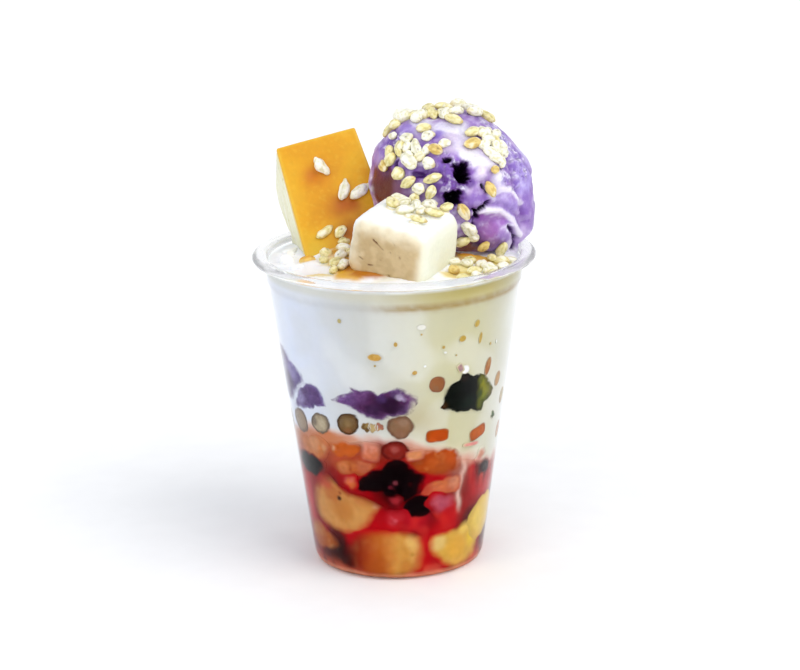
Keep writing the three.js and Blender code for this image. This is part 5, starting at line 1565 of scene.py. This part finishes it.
def growGrain(unit, grain, draw, number):
    # a plump grain with a crease along it, puffed unevenly between fine wrinkles
    place, outward, along, length, width, tone = grain
    side = np.cross(outward, along)
    x, y, z = unit.T
    plump = next(draw)
    taper = 1 - rice["taper"] * (1 + plump) * x * x + 0.1 * (next(draw) - 0.5) * x
    flatness = 0.84 + 0.14 * next(draw)
    bend = rice["bend"] * (next(draw) - 0.5) * length
    local = np.stack([np.sign(x) * np.abs(x) ** 0.9 * length / 2,
                      y * taper * width / 2 + bend * (x * x - 0.4),
                      z * taper * width / 2 * flatness], -1)
    seam = np.arctan2(y, z) - 1.6 * (next(draw) - 0.5)
    groove = near(seam + 0.3 * x, 0.3) * (1 - x ** 4) * smooth(next(draw), 0.3, 0.8)
    puffed = rice["puff"] * (width / 4) * (1.0 if tone == "w" else 0.5)
    swell = rough(local + number * 11.0, rice["swellSize"], 61)
    wrinkle = rough(local * [0.6, 1, 1] + number * 7.0, rice["wrinkleSize"], 62)
    lift = puffed * swell + rice["wrinkle"] * wrinkle - rice["groove"] * width * groove
    local += unit * lift[:, None]
    pitch = math.radians(rice["pitch"]) * (next(draw) - 0.5)
    leanAlong = along * math.cos(pitch) + outward * math.sin(pitch)
    leanOut = outward * math.cos(pitch) - along * math.sin(pitch)
    centre = place + outward * width * (0.5 - rice["sunk"])
    world = centre + local[:, :1] * leanAlong + local[:, 1:2] * side + local[:, 2:] * leanOut

    main, shade, deepShade, tip = rice["tones"][tone]
    paint = Paint(len(unit), main)
    # painted shade underneath and in the wrinkles, and a painted highlight on the swells on top
    paint.mix(shade, 0.8 * smooth(-z + 0.5 * swell, -0.1, 0.7))
    paint.mix(shade, 0.6 * smooth(-wrinkle - 0.3 * swell, 0.05, 0.4))
    paint.mix("#FDFBF0", 0.5 * smooth(swell + 0.5 * wrinkle, 0.15, 0.5) * (z > 0))
    # deeper painted shade in the crease and low underneath
    paint.mix(deepShade, np.maximum(0.35 * groove, 0.7 * smooth(-z, 0.5, 0.9)))
    end = 1 if next(draw) > 0.5 else -1
    paint.mix(tip, (0.25 + 0.45 * next(draw)) * smooth(x * end + 0.25 * swell, 0.62, 1.0))
    if next(draw) > 0.55:
        spot = np.array([0.8 * end * next(draw), 1.2 * (next(draw) - 0.5), 1.0])
        spot /= np.linalg.norm(spot)
        away = np.linalg.norm((unit - spot) * [length, width, width], axis=1)
        paint.mix("#5E3A1C", 0.85 * near(away, 0.7))
    return world, paint.coat


def makeRice():
    bpy.context.view_layer.update()
    graph = bpy.context.evaluated_depsgraph_get()
    grains = layGrains(BVHTree.FromObject(bpy.data.objects["milkAndCream"], graph))
    ball = iceBall(rice["fineness"])
    unit = whereIs(ball)
    unit /= np.linalg.norm(unit, axis=1, keepdims=True)
    triangles = np.array([list(face.vertices) for face in ball.data.polygons])
    bpy.data.objects.remove(ball)
    draw = seeded(90)
    corners, coats = zip(*[growGrain(unit, grain, draw, number) for number, grain in enumerate(grains)])
    faces = [triangles + number * len(unit) for number in range(len(grains))]
    mesh = bpy.data.meshes.new("toastedRice")
    mesh.from_pydata((np.concatenate(corners) * mm).tolist(), [], np.concatenate(faces).tolist())
    piece = bpy.data.objects.new("toastedRice", mesh)
    bpy.context.collection.objects.link(piece)
    applyPaint(piece, np.concatenate(coats))
    return finishPiece(piece, "toastedRice", toastedRice)


makeRice()
print("rice ready")


# Caramel and cream that ran off on to the top.
runs = {
    # x, y, length, width, spin, thickness
    "caramel": [(-29.8, -3.4, 5.0, 4.2, 8, 2.2), (-12.5, -36.6, 3.4, 1.6, -20, 0.7),
                (25.0, -6.0, 7, 3.0, -20, 1.4), (-17.5, 6.0, 4, 7, -12, 1.2)],
    "cream": [(-37.2, -3.4, 4.8, 4.2, -15, 3.0), (-33.4, -12.5, 5.0, 3.2, 30, 1.2),
              (-23.0, -30.0, 7, 3.0, -30, 0.9), (38.5, 6.5, 5, 6, 0, 1.2), (-36.5, 12.0, 4.6, 7, -10, 1.3),
              (-8.0, 35.0, 9, 4.4, 15, 1.2), (31.0, 22.0, 7, 4, 60, 1.2), (-24.5, 22.5, 6, 4, 0, 1.2)],
    "fineness": 5, "clearance": 0.2, "foot": 0.4, "dome": 0.7, "mottle": 3.2,
}


def makeRun(middleX, middleY, length, width, spin, thickness, seed):
    piece = iceBall(runs["fineness"])
    x, y, z = whereIs(piece).T
    turned = math.radians(spin)
    angle = np.arctan2(y, x)
    swell = 1 + 0.16 * np.sin(3 * angle + seed) + 0.1 * np.sin(5 * angle + 2 * seed)
    along, aside = x * length / 2 * swell, y * width / 2 * swell
    worldX = middleX + along * math.cos(turned) - aside * math.sin(turned)
    worldY = middleY + along * math.sin(turned) + aside * math.cos(turned)
    inside = cup["bandRadius"] - cup["wall"] - runs["clearance"]
    shrink = np.minimum(1, inside / np.maximum(np.hypot(worldX, worldY), 1))
    worldX, worldY = worldX * shrink, worldY * shrink
    level = creamLevel(worldX, worldY)
    heap = np.where(z > 0, thickness * np.maximum(z, 0) ** runs["dome"], -runs["foot"])
    moveTo(piece, np.stack([worldX, worldY, level + heap], -1))
    flat = np.stack([worldX, worldY, 0 * level], -1)
    return piece, np.maximum(z, 0), rough(flat, runs["mottle"], 71)


def caramelCoat(height, mottled, thickness):
    # thin caramel is yellow, and a thick drop of it is brown
    paint = Paint(len(height), "#EBCB76")
    paint.mix("#D9A23A", smooth(height + 0.2 * mottled, 0.15, 0.6))
    return paint.mix("#B9772A", 0.75 * smooth(height + 0.7 * mottled, 0.65, 1.1) * (thickness > 0.9))


def creamCoat(height, mottled, thickness):
    return Paint(len(height), "#FAFAF8").mix("#EEEBE0", 0.4 * smooth(mottled, 0, 0.5))


for name, kind, coat, seed, material, slot in (
        ("caramelRuns", "caramel", caramelCoat, 0, setCaramel, "caramel"),
        ("creamFolds", "cream", creamCoat, 20, milkCream, "milk")):
    drops = []
    for index, spec in enumerate(runs[kind]):
        piece, height, mottled = makeRun(*spec, index + seed)
        applyPaint(piece, coat(height, mottled, spec[5]).coat)
        drops.append(piece)
    finishPiece(join(drops), name, material)
print("runs ready")


# Floor, light and camera.
stageSet = {"floorSize": 9000, "floor": "#FFFFFF", "floorShade": "#FCFCFC", "tooth": 60.0,
            "horizon": "#FFFFFF", "zenith": "#DDE0E6", "sky": 0.95}
lamps = {
    # where the light comes from, how wide it is in degrees, watts to the square metre, colour
    "softbox": ((0.5, -0.42, 0.76), 40, 1.15, "#FFFDF8"),
    "fill": ((-0.4, -0.88, 0.3), 70, 1.0, "#F2F6FF"),
}
camera = {"place": (0, -0.900, 0.336), "down": 15.86, "left": -0.104, "roll": -0.97, "lens": 120.7,
          "sensor": 36, "nearest": 0.01}

bpy.ops.mesh.primitive_plane_add(size=stageSet["floorSize"] * mm)
floor = bpy.context.object
floor.name = "paleFloor"
paper, paperSurface = newMaterial("mattPaper", Roughness=0.95)  # seamless paper: even and matt
paperPlace = addNode(paper, "ShaderNodeTexCoord")
tooth = addNode(paper, "ShaderNodeTexNoise", {
    "Vector": paperPlace.outputs["Object"], "Scale": stageSet["tooth"]})
paperTone = addNode(paper, "ShaderNodeValToRGB", {"Fac": tooth.outputs["Fac"]},
                    stops=[(0.3, stageSet["floorShade"]), (0.7, stageSet["floor"])])
link(paper, paperTone.outputs["Color"], paperSurface.inputs["Base Color"])
floor.data.materials.append(paper)

world = bpy.data.worlds.new("softStudio")
bpy.context.scene.world = world
world.use_nodes = True
world.node_tree.nodes.clear()
skyPlace = addNode(world, "ShaderNodeTexCoord")
skySplit = addNode(world, "ShaderNodeSeparateXYZ", {"Vector": skyPlace.outputs["Generated"]})
skyTone = addNode(world, "ShaderNodeValToRGB", {"Fac": skySplit.outputs["Z"]},
                  stops=[(0.0, stageSet["horizon"]), (0.6, stageSet["zenith"])])
sky = addNode(world, "ShaderNodeBackground", {
    "Color": skyTone.outputs["Color"], "Strength": stageSet["sky"]})
addNode(world, "ShaderNodeOutputWorld", {"Surface": sky.outputs["Background"]})

for name, (place, width, strength, colour) in lamps.items():
    bpy.ops.object.light_add(type="SUN", location=place)
    lamp = bpy.context.object
    lamp.name = name
    lamp.data.angle = math.radians(width)
    lamp.data.energy = strength
    lamp.data.color = toLinear(colour)[:3]
    lamp.rotation_euler = Vector(place).to_track_quat("Z", "Y").to_euler()

bpy.ops.object.camera_add(location=camera["place"])
view = bpy.context.object
view.data.lens = camera["lens"]
view.data.sensor_width = camera["sensor"]
view.data.clip_start = camera["nearest"]
aim = Euler((math.radians(90 - camera["down"]), 0, math.radians(camera["left"]))).to_matrix().to_4x4()
view.matrix_world = (Matrix.Translation(camera["place"]) @ aim
                     @ Matrix.Rotation(math.radians(camera["roll"]), 4, "Z"))
bpy.context.scene.camera = view
bpy.context.scene.view_settings.view_transform = "Standard"
bpy.context.scene.view_settings.look = "None"
print("stage ready")
